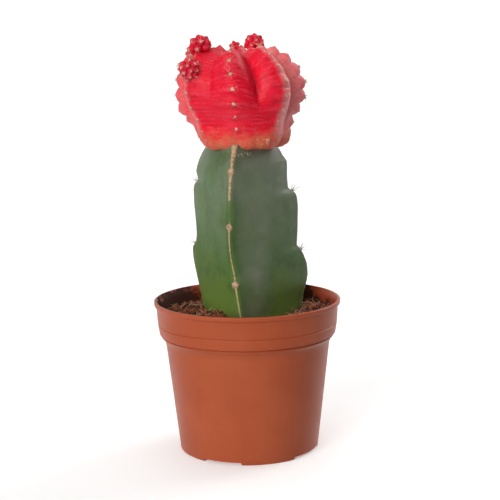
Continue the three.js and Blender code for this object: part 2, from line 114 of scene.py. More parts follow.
@dataclass(frozen=True)
class Line:
    """A smooth line through (place, value) points.

    Attributes:
        points: the points, in order of place.
    """

    points: Pairs

    def _slope(self, i: int) -> float:
        """Slope at a point, from its two neighbours.

        Args:
            i: number of the point.

        Returns:
            Its slope.
        """
        before = self.points[max(i - 1, 0)]
        after = self.points[min(i + 1, len(self.points) - 1)]
        return (after[1] - before[1]) / (after[0] - before[0])

    @lru_cache(maxsize=None)
    def at(self, place: float) -> float:
        """Value of the line.

        Args:
            place: where to read it; beyond an end it keeps that end's value.

        Returns:
            The value there.
        """
        points = self.points
        if len(points) == 1 or place <= points[0][0]:
            return points[0][1]
        if place >= points[-1][0]:
            return points[-1][1]
        i = next(j for j, point in enumerate(points) if point[0] > place) - 1
        (x0, y0), (x1, y1) = points[i], points[i + 1]
        span = x1 - x0
        share = (place - x0) / span
        bend = (1.0 - share) * self._slope(i) - share * self._slope(i + 1)
        chord = (y1 - y0) / span
        lift = share * (1.0 - share) * span * (bend - chord * (1.0 - 2.0 * share))
        return mix(y0, y1, share) + lift


@dataclass(frozen=True)
class Curve:
    """A smooth plane curve through (radius, height) points, read by its share of length.

    Attributes:
        points: the points that it passes through.
        divisions: parts in which its length is measured.
        step: share of its parameter over which its direction is taken.
    """

    points: Pairs
    divisions: ClassVar[int] = 200
    step: ClassVar[float] = 1e-4

    def _free(self, share: float) -> Vector:
        """Point by the curve's own parameter.

        Args:
            share: share of that parameter, from 0 to 1.

        Returns:
            The point, as (radius, height).
        """
        points, last = self.points, len(self.points) - 1
        place = last * share
        i = min(int(place), last)
        t = place - i
        before, here = points[max(i - 1, 0)], points[i]
        after, beyond = points[min(i + 1, last)], points[min(i + 2, last)]

        def axis(k: int) -> float:
            """One coordinate of the point.

            Args:
                k: 0 for its radius, 1 for its height.

            Returns:
                The coordinate.
            """
            v0, v1 = (after[k] - before[k]) / 2.0, (beyond[k] - here[k]) / 2.0
            rise = here[k] - after[k]
            return ((2 * rise + v0 + v1) * t - 3 * rise - 2 * v0 - v1) * t * t + v0 * t + here[k]

        return Vector((axis(0), axis(1)))

    @cached_property
    def _lengths(self) -> list[float]:
        """Length of the curve up to each division.

        Returns:
            The lengths, from 0 to the whole length.
        """
        total, lengths, last = 0.0, [0.0], self._free(0.0)
        for i in range(1, self.divisions + 1):
            here = self._free(i / self.divisions)
            total += (here - last).length
            lengths.append(total)
            last = here
        return lengths

    @property
    def length(self) -> float:
        """Whole length of the curve."""
        return self._lengths[-1]

    def _parameter(self, share: float) -> float:
        """Parameter at a share of the length.

        Args:
            share: share of the length, from 0 to 1.

        Returns:
            The parameter, from 0 to 1.
        """
        lengths, target = self._lengths, share * self._lengths[-1]
        i = next((j for j, length in enumerate(lengths) if length > target), len(lengths) - 1) - 1
        part = (target - lengths[i]) / (lengths[i + 1] - lengths[i])
        return (i + part) / self.divisions

    @lru_cache(maxsize=None)
    def at(self, share: float) -> tuple[Vector, Vector]:
        """Point and direction of the curve.

        Args:
            share: share of its length, from 0 to 1.

        Returns:
            The point and the unit direction, each as (radius, height).
        """
        middle = self._parameter(share)
        ahead = self._free(min(middle + self.step, 1.0)) - self._free(max(middle - self.step, 0.0))
        return self._free(middle), ahead.normalized()


class Signal:
    """A socket's value, on which arithmetic adds Math nodes to its tree."""

    def __init__(self, shader: "Shader", socket: Union[bpy.types.NodeSocket, None]) -> None:
        """Wraps a socket of a shader's tree."""
        self.shader = shader
        self.socket = socket

    def _math(self, operation: str, *operands: "Operand") -> "Signal":
        """Adds one Math node."""
        return self.shader.node("ShaderNodeMath", {"operation": operation}, dict(enumerate(operands)))

    def __add__(self, other: "Operand") -> "Signal":
        """Sum."""
        return self._math("ADD", self, other)

    def __sub__(self, other: "Operand") -> "Signal":
        """Difference."""
        return self._math("SUBTRACT", self, other)

    def __rsub__(self, other: "Operand") -> "Signal":
        """Difference from a number."""
        return self._math("SUBTRACT", other, self)

    def __mul__(self, other: "Operand") -> "Signal":
        """Product."""
        return self._math("MULTIPLY", self, other)

    def __or__(self, other: "Operand") -> "Signal":
        """The larger of two masks."""
        return self._math("MAXIMUM", self, other)

    def wave(self) -> "Signal":
        """Sine of the value."""
        return self._math("SINE", self)

    def ease(self, low: float, high: float) -> "Signal":
        """Smooth mask that is 0 at low and 1 at high; low may be the larger."""
        settings = {"interpolation_type": "SMOOTHSTEP"}
        return self.shader.node("ShaderNodeMapRange", settings, {0: self, 1: low, 2: high})


Operand = Union[Signal, float, int]
Input = Union[Signal, float, int, Sequence[float]]


class Shader:
    """Builds the node tree of one material."""

    mix_first, mix_second, mix_result = 6, 7, 2  # numbers of a Mix node's sockets for colours

    def __init__(self, name: str) -> None:
        """Starts a material with an empty tree.

        Args:
            name: the material's name.
        """
        self.material = bpy.data.materials.new(name)
        self.material.use_nodes = True
        self.tree = self.material.node_tree
        self.tree.nodes.clear()

    def node(
        self, kind: str, settings: Mapping[str, object], inputs: Mapping[Union[int, str], Input],
        output: Union[int, str] = 0,
    ) -> Signal:
        """Adds a node.

        Args:
            kind: its type.
            settings: its properties.
            inputs: values or signals by socket name or number.
            output: the output socket that is wanted.

        Returns:
            The signal of that output, which holds no socket where the node has none.
        """
        node = self.tree.nodes.new(kind)
        for key, value in settings.items():
            setattr(node, key, value)
        for key, value in inputs.items():
            if isinstance(value, Signal):
                self.tree.links.new(value.socket, node.inputs[key])
            else:
                node.inputs[key].default_value = value
        return Signal(self, node.outputs[output] if node.outputs else None)

    @cached_property
    def place(self) -> Signal:
        """Object coordinates, in metres."""
        return self.node("ShaderNodeTexCoord", {}, {}, "Object")

    def axis(self, name: str) -> Signal:
        """One object coordinate in millimetres."""
        return self.node("ShaderNodeSeparateXYZ", {}, {0: self.place}, name) * (1.0 / MM)

    def mark(self, name: str) -> Signal:
        """A mark that the piece's points carry."""
        settings = {"attribute_type": "GEOMETRY", "attribute_name": name}
        return self.node("ShaderNodeAttribute", settings, {}, "Fac")

    def grain(
        self, size: float, detail: float = 3.0, rough: float = 0.55, stretch: Sequence[float] = (1, 1, 1),
        shift: float = 0.0,
    ) -> Signal:
        """Cloudy pattern from 0 to 1.

        Args:
            size: size of its largest features, in millimetres.
            detail: number of finer layers.
            rough: strength of the finer layers.
            stretch: scale of the pattern along each axis.
            shift: moves the pattern, so that two of one size differ.

        Returns:
            The pattern.
        """
        moved = self.node("ShaderNodeMapping", {}, {0: self.place, 1: (shift,) * 3, 3: stretch})
        inputs = {"Vector": moved, "Scale": 1.0 / (size * MM), "Detail": detail, "Roughness": rough}
        return self.node("ShaderNodeTexNoise", {}, inputs)

    def cells(self, size: float, shift: float = 0.0) -> Signal:
        """Distance from scattered points, 0 at each point, for speckles of a size in millimetres."""
        moved = self.node("ShaderNodeMapping", {}, {0: self.place, 1: (shift,) * 3})
        return self.node("ShaderNodeTexVoronoi", {}, {"Vector": moved, "Scale": 1.0 / (size * MM)})

    def blend(self, share: Input, first: Input, second: Input) -> Signal:
        """Colour between two colours.

        Args:
            share: how far it is towards the second, from 0 to 1.
            first: the first colour.
            second: the second one.

        Returns:
            The colour.
        """
        settings = {"data_type": "RGBA", "blend_type": "MIX", "clamp_factor": True}
        inputs = {0: share, self.mix_first: first, self.mix_second: second}
        return self.node("ShaderNodeMix", settings, inputs, self.mix_result)

    def finish(self, colour: Signal, rough: Input, relief: Signal, depth: float,
               **sockets: Input) -> bpy.types.Material:
        """Closes the tree.

        Args:
            colour: base colour.
            rough: roughness.
            relief: height of the fine relief, from 0 to 1.
            depth: depth of that relief, in millimetres.
            sockets: other values of the surface by name, with _ for a space.

        Returns:
            The material.
        """
        bump = self.node("ShaderNodeBump", {}, {"Strength": 1.0, "Distance": depth * MM, "Height": relief})
        inputs = {name.replace("_", " "): value for name, value in sockets.items()}
        inputs.update({"Base Color": colour, "Roughness": rough, "Normal": bump})
        surface = self.node("ShaderNodeBsdfPrincipled", {}, inputs)
        self.node("ShaderNodeOutputMaterial", {}, {"Surface": surface})
        return self.material


@dataclass(frozen=True)
class PotPlastic:
    """Terracotta-coloured moulded plastic, satin, with painted shade inside and dark patches on its inside
    wall above the soil.

    Attributes:
        body: colour of the plastic.
        warm: its lighter clouds.
        deep: darker colour of the inside of the pot, painted shade.
        dust: dark brown of the specks of dust and of the patches on the inside wall.
        rough: roughness of the clean plastic.
        right_patch: where the dark patch on the right starts and ends across the pot, and starts to the
            back.
        left_patch: where the dark patch on the left starts across the pot, and to the back.
        patch_heights: heights between which the patches thicken towards the soil.
    """

    body: Colour = paint(174, 80, 47)
    warm: Colour = paint(182, 88, 54)
    deep: Colour = paint(134, 46, 26)
    dust: Colour = paint(46, 30, 24)
    rough: float = 0.4
    right_patch: tuple[Span, Span, Span] = ((14.5, 17.5), (23.5, 20.5), (2.0, 9.0))
    left_patch: tuple[Span, Span] = ((-15.0, -20.0), (-9.0, 2.0))
    patch_heights: Span = (48.8, 44.0)

    def dark_wall_patches(self, s: Shader) -> Signal:
        """Mask of the dark, rough patches on the inside of the wall, which grow towards the soil.

        Args:
            s: the shader that it is for.

        Returns:
            The mask.
        """
        across, behind, height = s.axis("X"), s.axis("Y"), s.axis("Z")
        start, end, back = self.right_patch
        right = across.ease(*start) * across.ease(*end) * behind.ease(*back) * 0.36
        start, back = self.left_patch
        left = across.ease(*start) * behind.ease(*back) * 0.32
        low = height.ease(*self.patch_heights) * 0.3
        # Dark, rough patches on the inside wall, more of them towards the soil.
        patch_grain = s.grain(3.4, 5.0, 0.6, (1, 1, 1.5), 0.7)
        return (patch_grain + low + (right | left)).ease(0.66, 0.86) * s.mark("inside")

    def material(self) -> bpy.types.Material:
        """Builds the material.

        Returns:
            The material.
        """
        s = Shader("pot_plastic")
        colour = s.blend(s.grain(18.0, 3.0).ease(0.35, 0.7), self.body, self.warm)
        # Painted shade: the inside of the pot is darker.
        colour = s.blend(s.mark("inside") * 0.5, colour, self.deep)
        dark_wall_patches = self.dark_wall_patches(s)
        dusting = s.cells(1.5, 0.2).ease(0.16, 0.05) * s.grain(9.0, 2.0, shift=1.1).ease(0.52, 0.62) * 0.3
        colour = s.blend((dark_wall_patches * 0.88) | dusting, colour, self.dust)
        rough = s.grain(6.0, 4.0, shift=0.5) * 0.1 + (self.rough - 0.05)
        relief = s.grain(0.35, 3.0) * 0.4 + s.grain(5.0, 2.0) * 0.6
        return s.finish(colour, rough | (dark_wall_patches * 0.9), relief, 0.015, IOR=1.45, Specular_IOR_Level=0.24)


@dataclass(frozen=True)
class PeatCrumb:
    """Dark peat: nearly black crumbs with brown and reddish ones among them."""

    dark: Colour = paint(46, 29, 23)
    brown: Colour = paint(136, 78, 54)
    russet: Colour = paint(178, 98, 62)

    def material(self) -> bpy.types.Material:
        """Builds the material.

        Returns:
            The material.
        """
        s = Shader("peat_crumb")
        clods = s.grain(2.4, 5.0, 0.65)
        colour = s.blend(clods.ease(0.38, 0.64), self.dark, self.brown)
        colour = s.blend(s.grain(1.1, 3.0, shift=0.4).ease(0.5, 0.66) * 0.8, colour, self.russet)
        return s.finish(colour, 0.95, s.grain(0.5, 6.0, 0.75), 0.25, Specular_IOR_Level=0.25)


@dataclass(frozen=True)
class PlantFibre:
    """Pale dry fibre and wood in the peat, browner in streaks.

    Attributes:
        name: name of the material.
        pale: its colour.
        brown: its streaks.
        streak: size of the largest streaks.
    """

    name: str = "coir_fibre"
    pale: Colour = paint(206, 172, 140)
    brown: Colour = paint(150, 104, 74)
    streak: float = 1.2

    def material(self) -> bpy.types.Material:
        """Builds the material.

        Returns:
            The material.
        """
        s = Shader(self.name)
        streaks = s.grain(self.streak, 4.0, 0.6)
        colour = s.blend(streaks.ease(0.38, 0.66), self.pale, self.brown)
        return s.finish(colour, 0.85, s.grain(0.2, 3.0), 0.03, Specular_IOR_Level=0.3)


@dataclass(frozen=True)
class GreenSkin:
    """Waxy grey-green skin, greener to the left and at the foot, with corky wing margins; painted light
    lightens its foot and upper right.

    A span runs from where its effect starts to where it is full. Those named side are places across the
    stem, those in pairs are heights and then places across it, and the others are heights.

    Attributes:
        bloom: colour of the pale waxy veil.
        margin: colour beside the wings' edges.
        drawn_out: scale of the patterns, which are longer from front to back.
        band: two spans across the stem, where the pale band of the front wing starts and ends.
        greying: where the skin turns greyer.
        moss_end: where the moss fades in below the top.
        moss_foot: where the left side turns to moss.
        shaded: where the right side turns darker.
        olive: where the skin turns into its foot's lighter yellow-green, which is partly painted light.
        dull: where the foot turns rougher on the left.
        brown_edge: how strong the brown is beside the edges.
        young: where the corky lines turn paler and greener.
    """

    foot: Colour = paint(118, 142, 58)
    green: Colour = paint(68, 102, 42)
    grey: Colour = paint(108, 124, 92)
    bloom: Colour = paint(140, 144, 126)
    moss: Colour = paint(76, 102, 34)
    deep: Colour = paint(52, 78, 36)
    margin: Colour = paint(122, 106, 98)
    cork: Colour = paint(198, 172, 140)
    cork_dark: Colour = paint(150, 114, 86)
    young_cork: Colour = paint(180, 178, 120)
    rough: float = 0.46
    drawn_out: tuple[float, float, float] = (1, 0.55, 1)
    band: tuple[Span, Span] = ((-5.0, 0.0), (11.0, 3.0))
    greying: Span = (56.0, 104.0)
    greying_side: Span = (-14.0, 8.0)
    veil_side: Span = (-12.0, 6.0)
    bloom_and_painted_light_side: Span = (-4.0, 8.0)
    moss_side: Span = (4.0, -14.0)
    moss_end: Span = (98.0, 82.0)
    moss_foot: tuple[Span, Span] = ((88.0, 52.0), (2.0, -8.0))
    shaded: tuple[Span, Span] = ((98.0, 78.0), (5.0, 13.0))
    olive: Span = (84.0, 54.0)
    olive_side: Span = (3.0, 12.0)
    dull: tuple[Span, Span] = ((80.0, 54.0), (8.0, -4.0))
    brown_edge: float = 0.6
    young: Span = (57.0, 54.0)

    def skin(self, s: Shader) -> Signal:
        """Colour of the skin between the corky lines.

        Args:
            s: the shader that it is for.

        Returns:
            The colour.
        """
        height, across = s.axis("Z"), s.axis("X")
        start, end = self.band
        band = across.ease(*start) * across.ease(*end)
        upper = height.ease(*self.greying)
        clouds = s.grain(13.0, 3.0, 0.5, self.drawn_out)
        greyness = (upper + band) * 0.5 + across.ease(*self.greying_side) * 0.2 + clouds * 0.7 - 0.3
        colour = s.blend(greyness.ease(0.05, 0.95), self.green, self.grey)
        veil = s.grain(7.0, 4.0, 0.6, self.drawn_out, 0.6).ease(0.36, 0.7) * (upper | (band * 0.8))
        colour = s.blend(veil * (across.ease(*self.veil_side) * 0.5 + 0.25), colour, self.bloom)
        patches = s.grain(7.0, 4.0, 0.6, self.drawn_out, 1.7).ease(0.42, 0.72) * (1.0 - band * 0.7)
        colour = s.blend(patches * 0.5, colour, self.deep)
        moss = s.grain(8.0, 4.0, 0.6, self.drawn_out, 3.1).ease(0.4, 0.66) * across.ease(*self.moss_side)
        colour = s.blend(moss * height.ease(*self.moss_end) * 0.7, colour, self.moss)
        up, left = self.moss_foot
        colour = s.blend(height.ease(*up) * across.ease(*left) * 0.5, colour, self.moss)
        up, right = self.shaded
        colour = s.blend(height.ease(*up) * across.ease(*right) * 0.15, colour, self.deep)
        # Paler bloom on the upper right: partly waxy bloom, partly painted light on the shaded right face.
        colour = s.blend(across.ease(*self.bloom_and_painted_light_side) * upper * 0.4, colour, self.bloom)
        # Lighter yellow-green near the soil: partly the foot's own colour, partly painted light where the
        # pot shades it.
        low = height + clouds * 26.0 + patches * 8.0 + band * 10.0 + across.ease(*self.olive_side) * 4.0
        colour = s.blend(low.ease(*self.olive) * 0.7, colour, self.foot)
        speckle = s.cells(0.45, 0.1).ease(0.22, 0.08) * s.grain(3.5, 2.0, shift=0.9).ease(0.4, 0.7)
        colour = s.blend(speckle * 0.25, colour, self.bloom)
        return s.blend(s.mark("edge") * self.brown_edge, colour, self.margin)

    def bark(self, s: Shader) -> Signal:
        """Colour of the corky lines.

        Args:
            s: the shader that it is for.

        Returns:
            The colour.
        """
        bark = s.blend(s.grain(0.9, 4.0, 0.65).ease(0.4, 0.65), self.cork, self.cork_dark)
        return s.blend(s.axis("Z").ease(*self.young) * 0.8, bark, self.young_cork)

    def material(self) -> bpy.types.Material:
        """Builds the material.

        Returns:
            The material.
        """
        s = Shader("green_skin")
        cork = s.mark("cork")
        colour = s.blend(cork.ease(0.15, 0.75), self.skin(s), self.bark(s))
        rough = s.grain(2.0, 3.0, shift=0.3) * 0.16 + (self.rough - 0.08) + cork * 0.35
        up, left = self.dull
        rough = rough + s.axis("Z").ease(*up) * s.axis("X").ease(*left) * 0.26
        relief = s.grain(1.6, 4.0, 0.55) * 0.6 + s.grain(0.25, 2.0) * 0.25 + cork * s.grain(0.5, 4.0, 0.7)
        return s.finish(colour, rough, relief, 0.09, Subsurface_Weight=0.12, Subsurface_Scale=0.001,
                        Subsurface_Radius=(0.5, 1.0, 0.25), Specular_IOR_Level=0.22)


@dataclass(frozen=True)
class RedSkin:
    """Soft red skin, pleated, with painted shade, highlight and sheen, pale dust on its flanks and a scarred
    foot.

    Attributes:
        light: colour of the lighter clouds, the crown and the painted highlight along the pleats' crests.
        deep: darker red of some patches, and painted shade in the valleys, the notches and the pleats'
            troughs.
        pink: colour of the pale dust and painted sheen on the flanks.
        dusk: colour of the fine mottle higher up.
        olive: colour of the healed patches in the foot.
        callus: colour of the dry flakes on it.
        scarred: how strong the scars are.
        pleat: distance between two pleats.
        mottled: heights between which the mottle grows.
        scarring: heights between which the foot turns scarred.
        healing: heights between which the healed patches grow.
        marks: what its points have to carry.
    """

    name: str = "red_skin"
    red: Colour = paint(242, 10, 46)
    light: Colour = paint(246, 64, 86)
    deep: Colour = paint(208, 2, 30)
    pink: Colour = paint(250, 150, 148)
    dusk: Colour = paint(176, 22, 50)
    scar: Colour = paint(242, 118, 92)
    olive: Colour = paint(196, 130, 80)
    callus: Colour = paint(226, 176, 146)
    scarred: float = 1.0
    pleat: float = 1.45
    mottled: Span = (107.0, 118.0)
    scarring: Span = (111.0, 104.0)
    healing: Span = (106.0, 101.0)
    marks: ClassVar[tuple[str, ...]] = ("ridge", "fold", "dent", "pale", "along")

    def pleats(self, s: Shader) -> Signal:
        """Wave from -1 to 1 of the pleats that run round the ribs.

        Args:
            s: the shader that it is for.

        Returns:
            The wave.
        """
        warp = s.grain(6.0, 3.0, 0.5, shift=1.9) * 10.0
        return (s.mark("along") * (math.tau / self.pleat) + s.mark("ridge") * 3.0 + warp).wave()

    def living(self, s: Shader, pleats: Signal, strong: Signal) -> Signal:
        """Colour of the skin without its scars.

        Args:
            s: the shader that it is for.
            pleats: wave of the pleats.
            strong: where the pleats are strong.

        Returns:
            The colour.
        """
        ridge, fold = s.mark("ridge"), s.mark("fold")
        colour = s.blend(s.grain(7.0, 4.0, 0.55).ease(0.4, 0.75) * 0.45, self.red, self.light)
        patches = s.grain(5.0, 4.0, 0.6, (1, 1, 1.7), 2.6).ease(0.5, 0.66) * 0.5
        # Painted shade: darker red in the valleys between ribs and in the notches between tubercles.
        valley = s.mark("dent") * ridge.ease(0.5, 0.0) * 0.85
        notch = (1.0 - fold).ease(0.3, 1.0) * ridge.ease(0.1, 0.6) * 0.45
        colour = s.blend(patches | valley | notch, colour, self.deep)
        # Painted shade in the pleats' troughs, and a painted highlight along their crests.
        colour = s.blend(pleats.ease(-0.3, -1.0) * strong * 0.12, colour, self.deep)
        pleat_highlight = pleats.ease(0.4, 1.0) * s.grain(3.2, 4.0, 0.6, shift=0.4).ease(0.42, 0.7)
        crown = fold.ease(0.95, 1.0) * s.grain(2.5, 3.0, 0.6, shift=1.3).ease(0.36, 0.6)
        colour = s.blend((crown * 0.6) | (pleat_highlight * 0.8), colour, self.light)
        # Pale dust with painted sheen, strongest on the shaded right flanks.
        pale_dust_and_sheen = s.mark("pale") * s.grain(3.4, 4.0, 0.6, shift=2.1).ease(0.1, 0.55)
        colour = s.blend(pale_dust_and_sheen * 0.9, colour, self.pink)
        mottle = s.grain(0.8, 3.0, 0.65, shift=6.0).ease(0.4, 0.62) * (1.0 - s.mark("pale") * 0.8)
        return s.blend(mottle * s.axis("Z").ease(*self.mottled) * 0.4, colour, self.dusk)

    def material(self) -> bpy.types.Material:
        """Builds the material.

        Returns:
            The material.
        """
        s = Shader(self.name)
        height, pleats = s.axis("Z"), self.pleats(s)
        strong = s.grain(6.0, 3.0, 0.6, shift=4.2).ease(0.34, 0.6)
        foot = height + s.grain(3.6, 5.0, 0.65, shift=0.8) * 11.0
        foot = foot.ease(*self.scarring) * self.scarred
        colour = s.blend(foot * 0.75, self.living(s, pleats, strong), self.scar)
        healed = s.grain(3.2, 5.0, 0.7, shift=3.0).ease(0.47, 0.58) * foot * height.ease(*self.healing)
        colour = s.blend(healed * 0.5, colour, self.olive)
        flakes = s.grain(1.5, 4.0, 0.7, shift=5.0).ease(0.6, 0.68) * foot
        colour = s.blend(flakes * 0.8, colour, self.callus)
        rough = s.grain(1.8, 3.0, shift=0.2) * 0.16 + foot * 0.2 + 0.38
        relief = pleats * strong * 0.08 + s.grain(1.3, 4.0, 0.6, (1, 1, 1.6)) * 0.55
        relief = relief + s.grain(0.3, 3.0) * 0.2 + (healed | flakes) * 0.5
        return s.finish(colour, rough, relief, 0.2, Subsurface_Weight=0.15, Subsurface_Scale=0.0014,
                        Subsurface_Radius=(1.0, 0.22, 0.16), IOR=1.4, Specular_IOR_Level=0.3)


@dataclass(frozen=True)
class Wool:
    """Felt of the areoles, off-white to tan."""

    name: str = "areole_wool"
    pale: Colour = paint(240, 204, 182)
    tan: Colour = paint(206, 148, 120)

    def material(self) -> bpy.types.Material:
        """Builds the material.

        Returns:
            The material.
        """
        s = Shader(self.name)
        colour = s.blend(s.grain(0.8, 4.0, 0.65).ease(0.4, 0.68), self.pale, self.tan)
        return s.finish(colour, 0.95, s.grain(0.15, 3.0), 0.04, Specular_IOR_Level=0.2)


@dataclass(frozen=True)
class SpineHorn:
    """Straw-coloured horn of the spines, browner in places."""

    name: str = "spine_horn"
    straw: Colour = paint(242, 222, 192)
    brown: Colour = paint(158, 122, 92)

    def material(self) -> bpy.types.Material:
        """Builds the material.

        Returns:
            The material.
        """
        s = Shader(self.name)
        colour = s.blend(s.grain(2.2, 2.0).ease(0.4, 0.58), self.straw, self.brown)
        return s.finish(colour, 0.5, s.grain(0.3, 2.0), 0.01)


class Bench:
    """A mesh in the making, in millimetres."""

    taper = 1.5  # how late a strand grows thin: the power of the share of its length

    def __init__(self, *marks: str) -> None:
        """Starts an empty mesh.

        Args:
            marks: names of the marks that its points carry.
        """
        self.mesh = bmesh.new()
        for name in marks:
            self.mesh.verts.layers.float.new(name)

    def _dress(self, verts: Sequence[bmesh.types.BMVert], material: int) -> None:
        """Gives the faces of some points a material.

        Args:
            verts: the points.
            material: the material's number.
        """
        for face in {face for vert in verts for face in vert.link_faces}:
            face.material_index = material

    def sheet(self, columns: int, rows: int, spot: Callable[[int, int], Spot], material: int = 0) -> None:
        """Lays a grid of points round a closed form.

        Args:
            columns: steps round the form; the last column falls on the first.
            rows: steps from its first pole to its last one.
            spot: place and marks of a point, from its column and row.
            material: material number of its faces.
        """
        made = bmesh.ops.create_grid(self.mesh, x_segments=columns, y_segments=rows, size=0.5)["verts"]
        layers = self.mesh.verts.layers.float
        for vert in made:
            column = round((vert.co.x + 0.5) * columns)
            row = round((vert.co.y + 0.5) * rows)
            vert.co, marks = spot(column, row)
            for name, value in marks.items():
                vert[layers[name]] = value
        self._dress(made, material)

    def strand(self, path: Sequence[Vector], thick: float, sides: int, material: int) -> None:
        """Lays a strand that is thickest just above its root and runs out to a point.

        Args:
            path: points from its root to its tip.
            thick: thickness above the root.
            sides: sides of its section.
            material: material number of its faces.
        """
        last = len(path) - 1
        rings: list[tuple[Vector, Vector, Vector, float]] = []
        side = (path[1] - path[0]).orthogonal().normalized()
        for i, point in enumerate(path):
            ahead = (path[min(i + 1, last)] - path[max(i - 1, 0)]).normalized()
            side = (side - ahead * side.dot(ahead)).normalized()
            half = thick / 2.0 * (1.0 - (i / last) ** self.taper) if i else 0.0
            rings.append((point, side, ahead.cross(side), half))

        def spot(column: int, row: int) -> Spot:
            """Point of the strand's skin.

            Args:
                column: step round the strand.
                row: number of the point on its path.

            Returns:
                The point, without marks.
            """
            point, across, beside, half = rings[row]
            turn = math.tau * column / sides
            return point + (across * math.cos(turn) + beside * math.sin(turn)) * half, {}

        self.sheet(sides, last, spot, material)

    def lump(
        self, place: Vector, outward: Vector, size: Sequence[float], detail: int, uneven: float,
        material: int, draw: random.Random,
    ) -> None:
        """Sets a rounded lump on a surface.

        Args:
            place: its centre.
            outward: the direction of its third size.
            size: its three half sizes.
            detail: fineness of its faces.
            uneven: how far its points wander, as a share of its size.
            material: material number of its faces.
            draw: source of its unevenness and of its turn about the outward direction.
        """
        turn = outward.to_track_quat("Z", "Y").to_matrix()
        turn = turn @ Matrix.Rotation(math.tau * draw.random(), 3, "Z")
        stand = Matrix.Translation(place) @ turn.to_4x4() @ Matrix.Diagonal((*size, 1.0))
        made = bmesh.ops.create_icosphere(self.mesh, subdivisions=detail, radius=1.0, matrix=stand)["verts"]
        for vert in made:
            vert.co = place + (vert.co - place) * (1.0 + uneven * draw.uniform(-1.0, 1.0))
        self._dress(made, material)

    def finish(
        self, name: str, materials: Sequence[bpy.types.Material], slot: Slot,
        crease: Union[float, None] = None, stands_for: Sequence[str] = (),
    ) -> bpy.types.Object:
        """Makes the mesh a piece of the object.

        Args:
            name: the piece's name.
            materials: its materials by number.
            slot: the record's slot; not used.
            crease: angle in degrees above which an edge is sharp; without it every edge is smooth.
            stands_for: solids that it replaces.

        Returns:
            The piece.
        """
        bmesh.ops.remove_doubles(self.mesh, verts=self.mesh.verts[:], dist=WELD)
        bmesh.ops.recalc_face_normals(self.mesh, faces=self.mesh.faces[:])
        bmesh.ops.scale(self.mesh, vec=(MM, MM, MM), verts=self.mesh.verts[:])
        mesh = bpy.data.meshes.new(name)
        self.mesh.to_mesh(mesh)
        self.mesh.free()
        for material in materials:
            mesh.materials.append(material)
        mesh.shade_smooth()
        if crease is not None:
            mesh.set_sharp_from_angle(angle=math.radians(crease))
        piece = bpy.data.objects.new(name, mesh)
        bpy.context.scene.collection.objects.link(piece)
        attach(piece, "root")
        if stands_for:
            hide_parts(*stands_for)
        triangles = sum(len(polygon.vertices) - 2 for polygon in mesh.polygons)
        LOG.info("%s: %d triangles", name, triangles)
        return piece


@dataclass(frozen=True)
class Cushion:
    """An areole: a felt pad with short wool and a star of spines.

    Attributes:
        pad: radius of the pad.
        rise: height of the pad as a share of its radius.
        wool: number of wool hairs.
        wool_length: longest wool hair.
        spines: least and greatest number of spines.
        length: shortest and longest spine.
        thick: thickness of a spine at its root.
        spread: how far spines lean away from the outward direction, least and most.
        uneven: how far the pad's points wander, as a share of its size.
        wool_thick: thickness of a wool hair.
        droop: how far a hair's tip sinks, as a share of its length.
        sunk: depth of a spine's root in the skin.
        bend: how far a spine's tip bends aside, as a share of its length.
        joints: shares of a spine's length where its points lie.
        stagger: how far a spine may stand from its even place, as a share of the step between two.
    """

    pad: float
    rise: float = 0.5
    wool: int = 14
    wool_length: float = 0.55
    spines: tuple[int, int] = (5, 7)
    length: Span = (1.4, 3.2)
    thick: float = 0.17
    spread: Span = (0.45, 0.8)
    uneven: ClassVar[float] = 0.12
    wool_thick: ClassVar[float] = 0.07
    droop: ClassVar[float] = 0.2
    sunk: ClassVar[float] = 0.2
    bend: ClassVar[float] = 0.12
    joints: ClassVar[tuple[float, ...]] = (0.12, 0.5, 1.0)
    stagger: ClassVar[float] = 0.6

    def grow(self, bench: Bench, seat: Vector, outward: Vector, draw: random.Random) -> None:
        """Puts the areole on a skin, with material 0 for the pad and its wool and 1 for the spines.

        Args:
            bench: the mesh that it goes into.
            seat: its place on the skin.
            outward: the skin's outward direction.
            draw: source of its variety.
        """
        felt, horn = 0, 1
        pad = self.pad * draw.uniform(0.8, 1.15)
        sizes = (pad, pad * draw.uniform(0.75, 1.0), pad * self.rise)
        bench.lump(seat, outward, sizes, 2, self.uneven, felt, draw)
        side = outward.orthogonal().normalized()
        beside = outward.cross(side)

        def leaning(turn: float, lean: float) -> Vector:
            """Direction that leans away from the outward one.

            Args:
                turn: its turn about the outward direction, in radians.
                lean: 0 for outward, 1 for along the skin.

            Returns:
                The direction.
            """
            around = side * math.cos(turn) + beside * math.sin(turn)
            return outward.lerp(around, lean).normalized()

        for _ in range(self.wool):
            turn, out = math.tau * draw.random(), math.sqrt(draw.random())
            root = seat + (leaning(turn, 1.0) * out * 0.8 + outward * self.rise * 0.4) * pad
            way = leaning(turn + draw.uniform(-0.8, 0.8), draw.uniform(0.2, 0.75))
            length = self.wool_length * draw.uniform(0.5, 1.0)
            tip = root + way * length - UP * self.droop * length
            bench.strand((root, root + way * length * 0.5, tip), self.wool_thick, 3, felt)
        count = draw.randint(*self.spines)
        start = math.tau * draw.random()
        for i in range(count):
            turn = start + math.tau * (i + self.stagger * draw.random()) / count
            way = leaning(turn, draw.uniform(*self.spread))
            bend = leaning(turn + draw.uniform(-0.5, 0.5), 1.0) * self.bend
            length = draw.uniform(*self.length)
            path = [seat - way * self.sunk]
            path += [seat + (way * t + bend * t * t) * length for t in self.joints]
            bench.strand(path, self.thick * draw.uniform(0.8, 1.15), 4, horn)


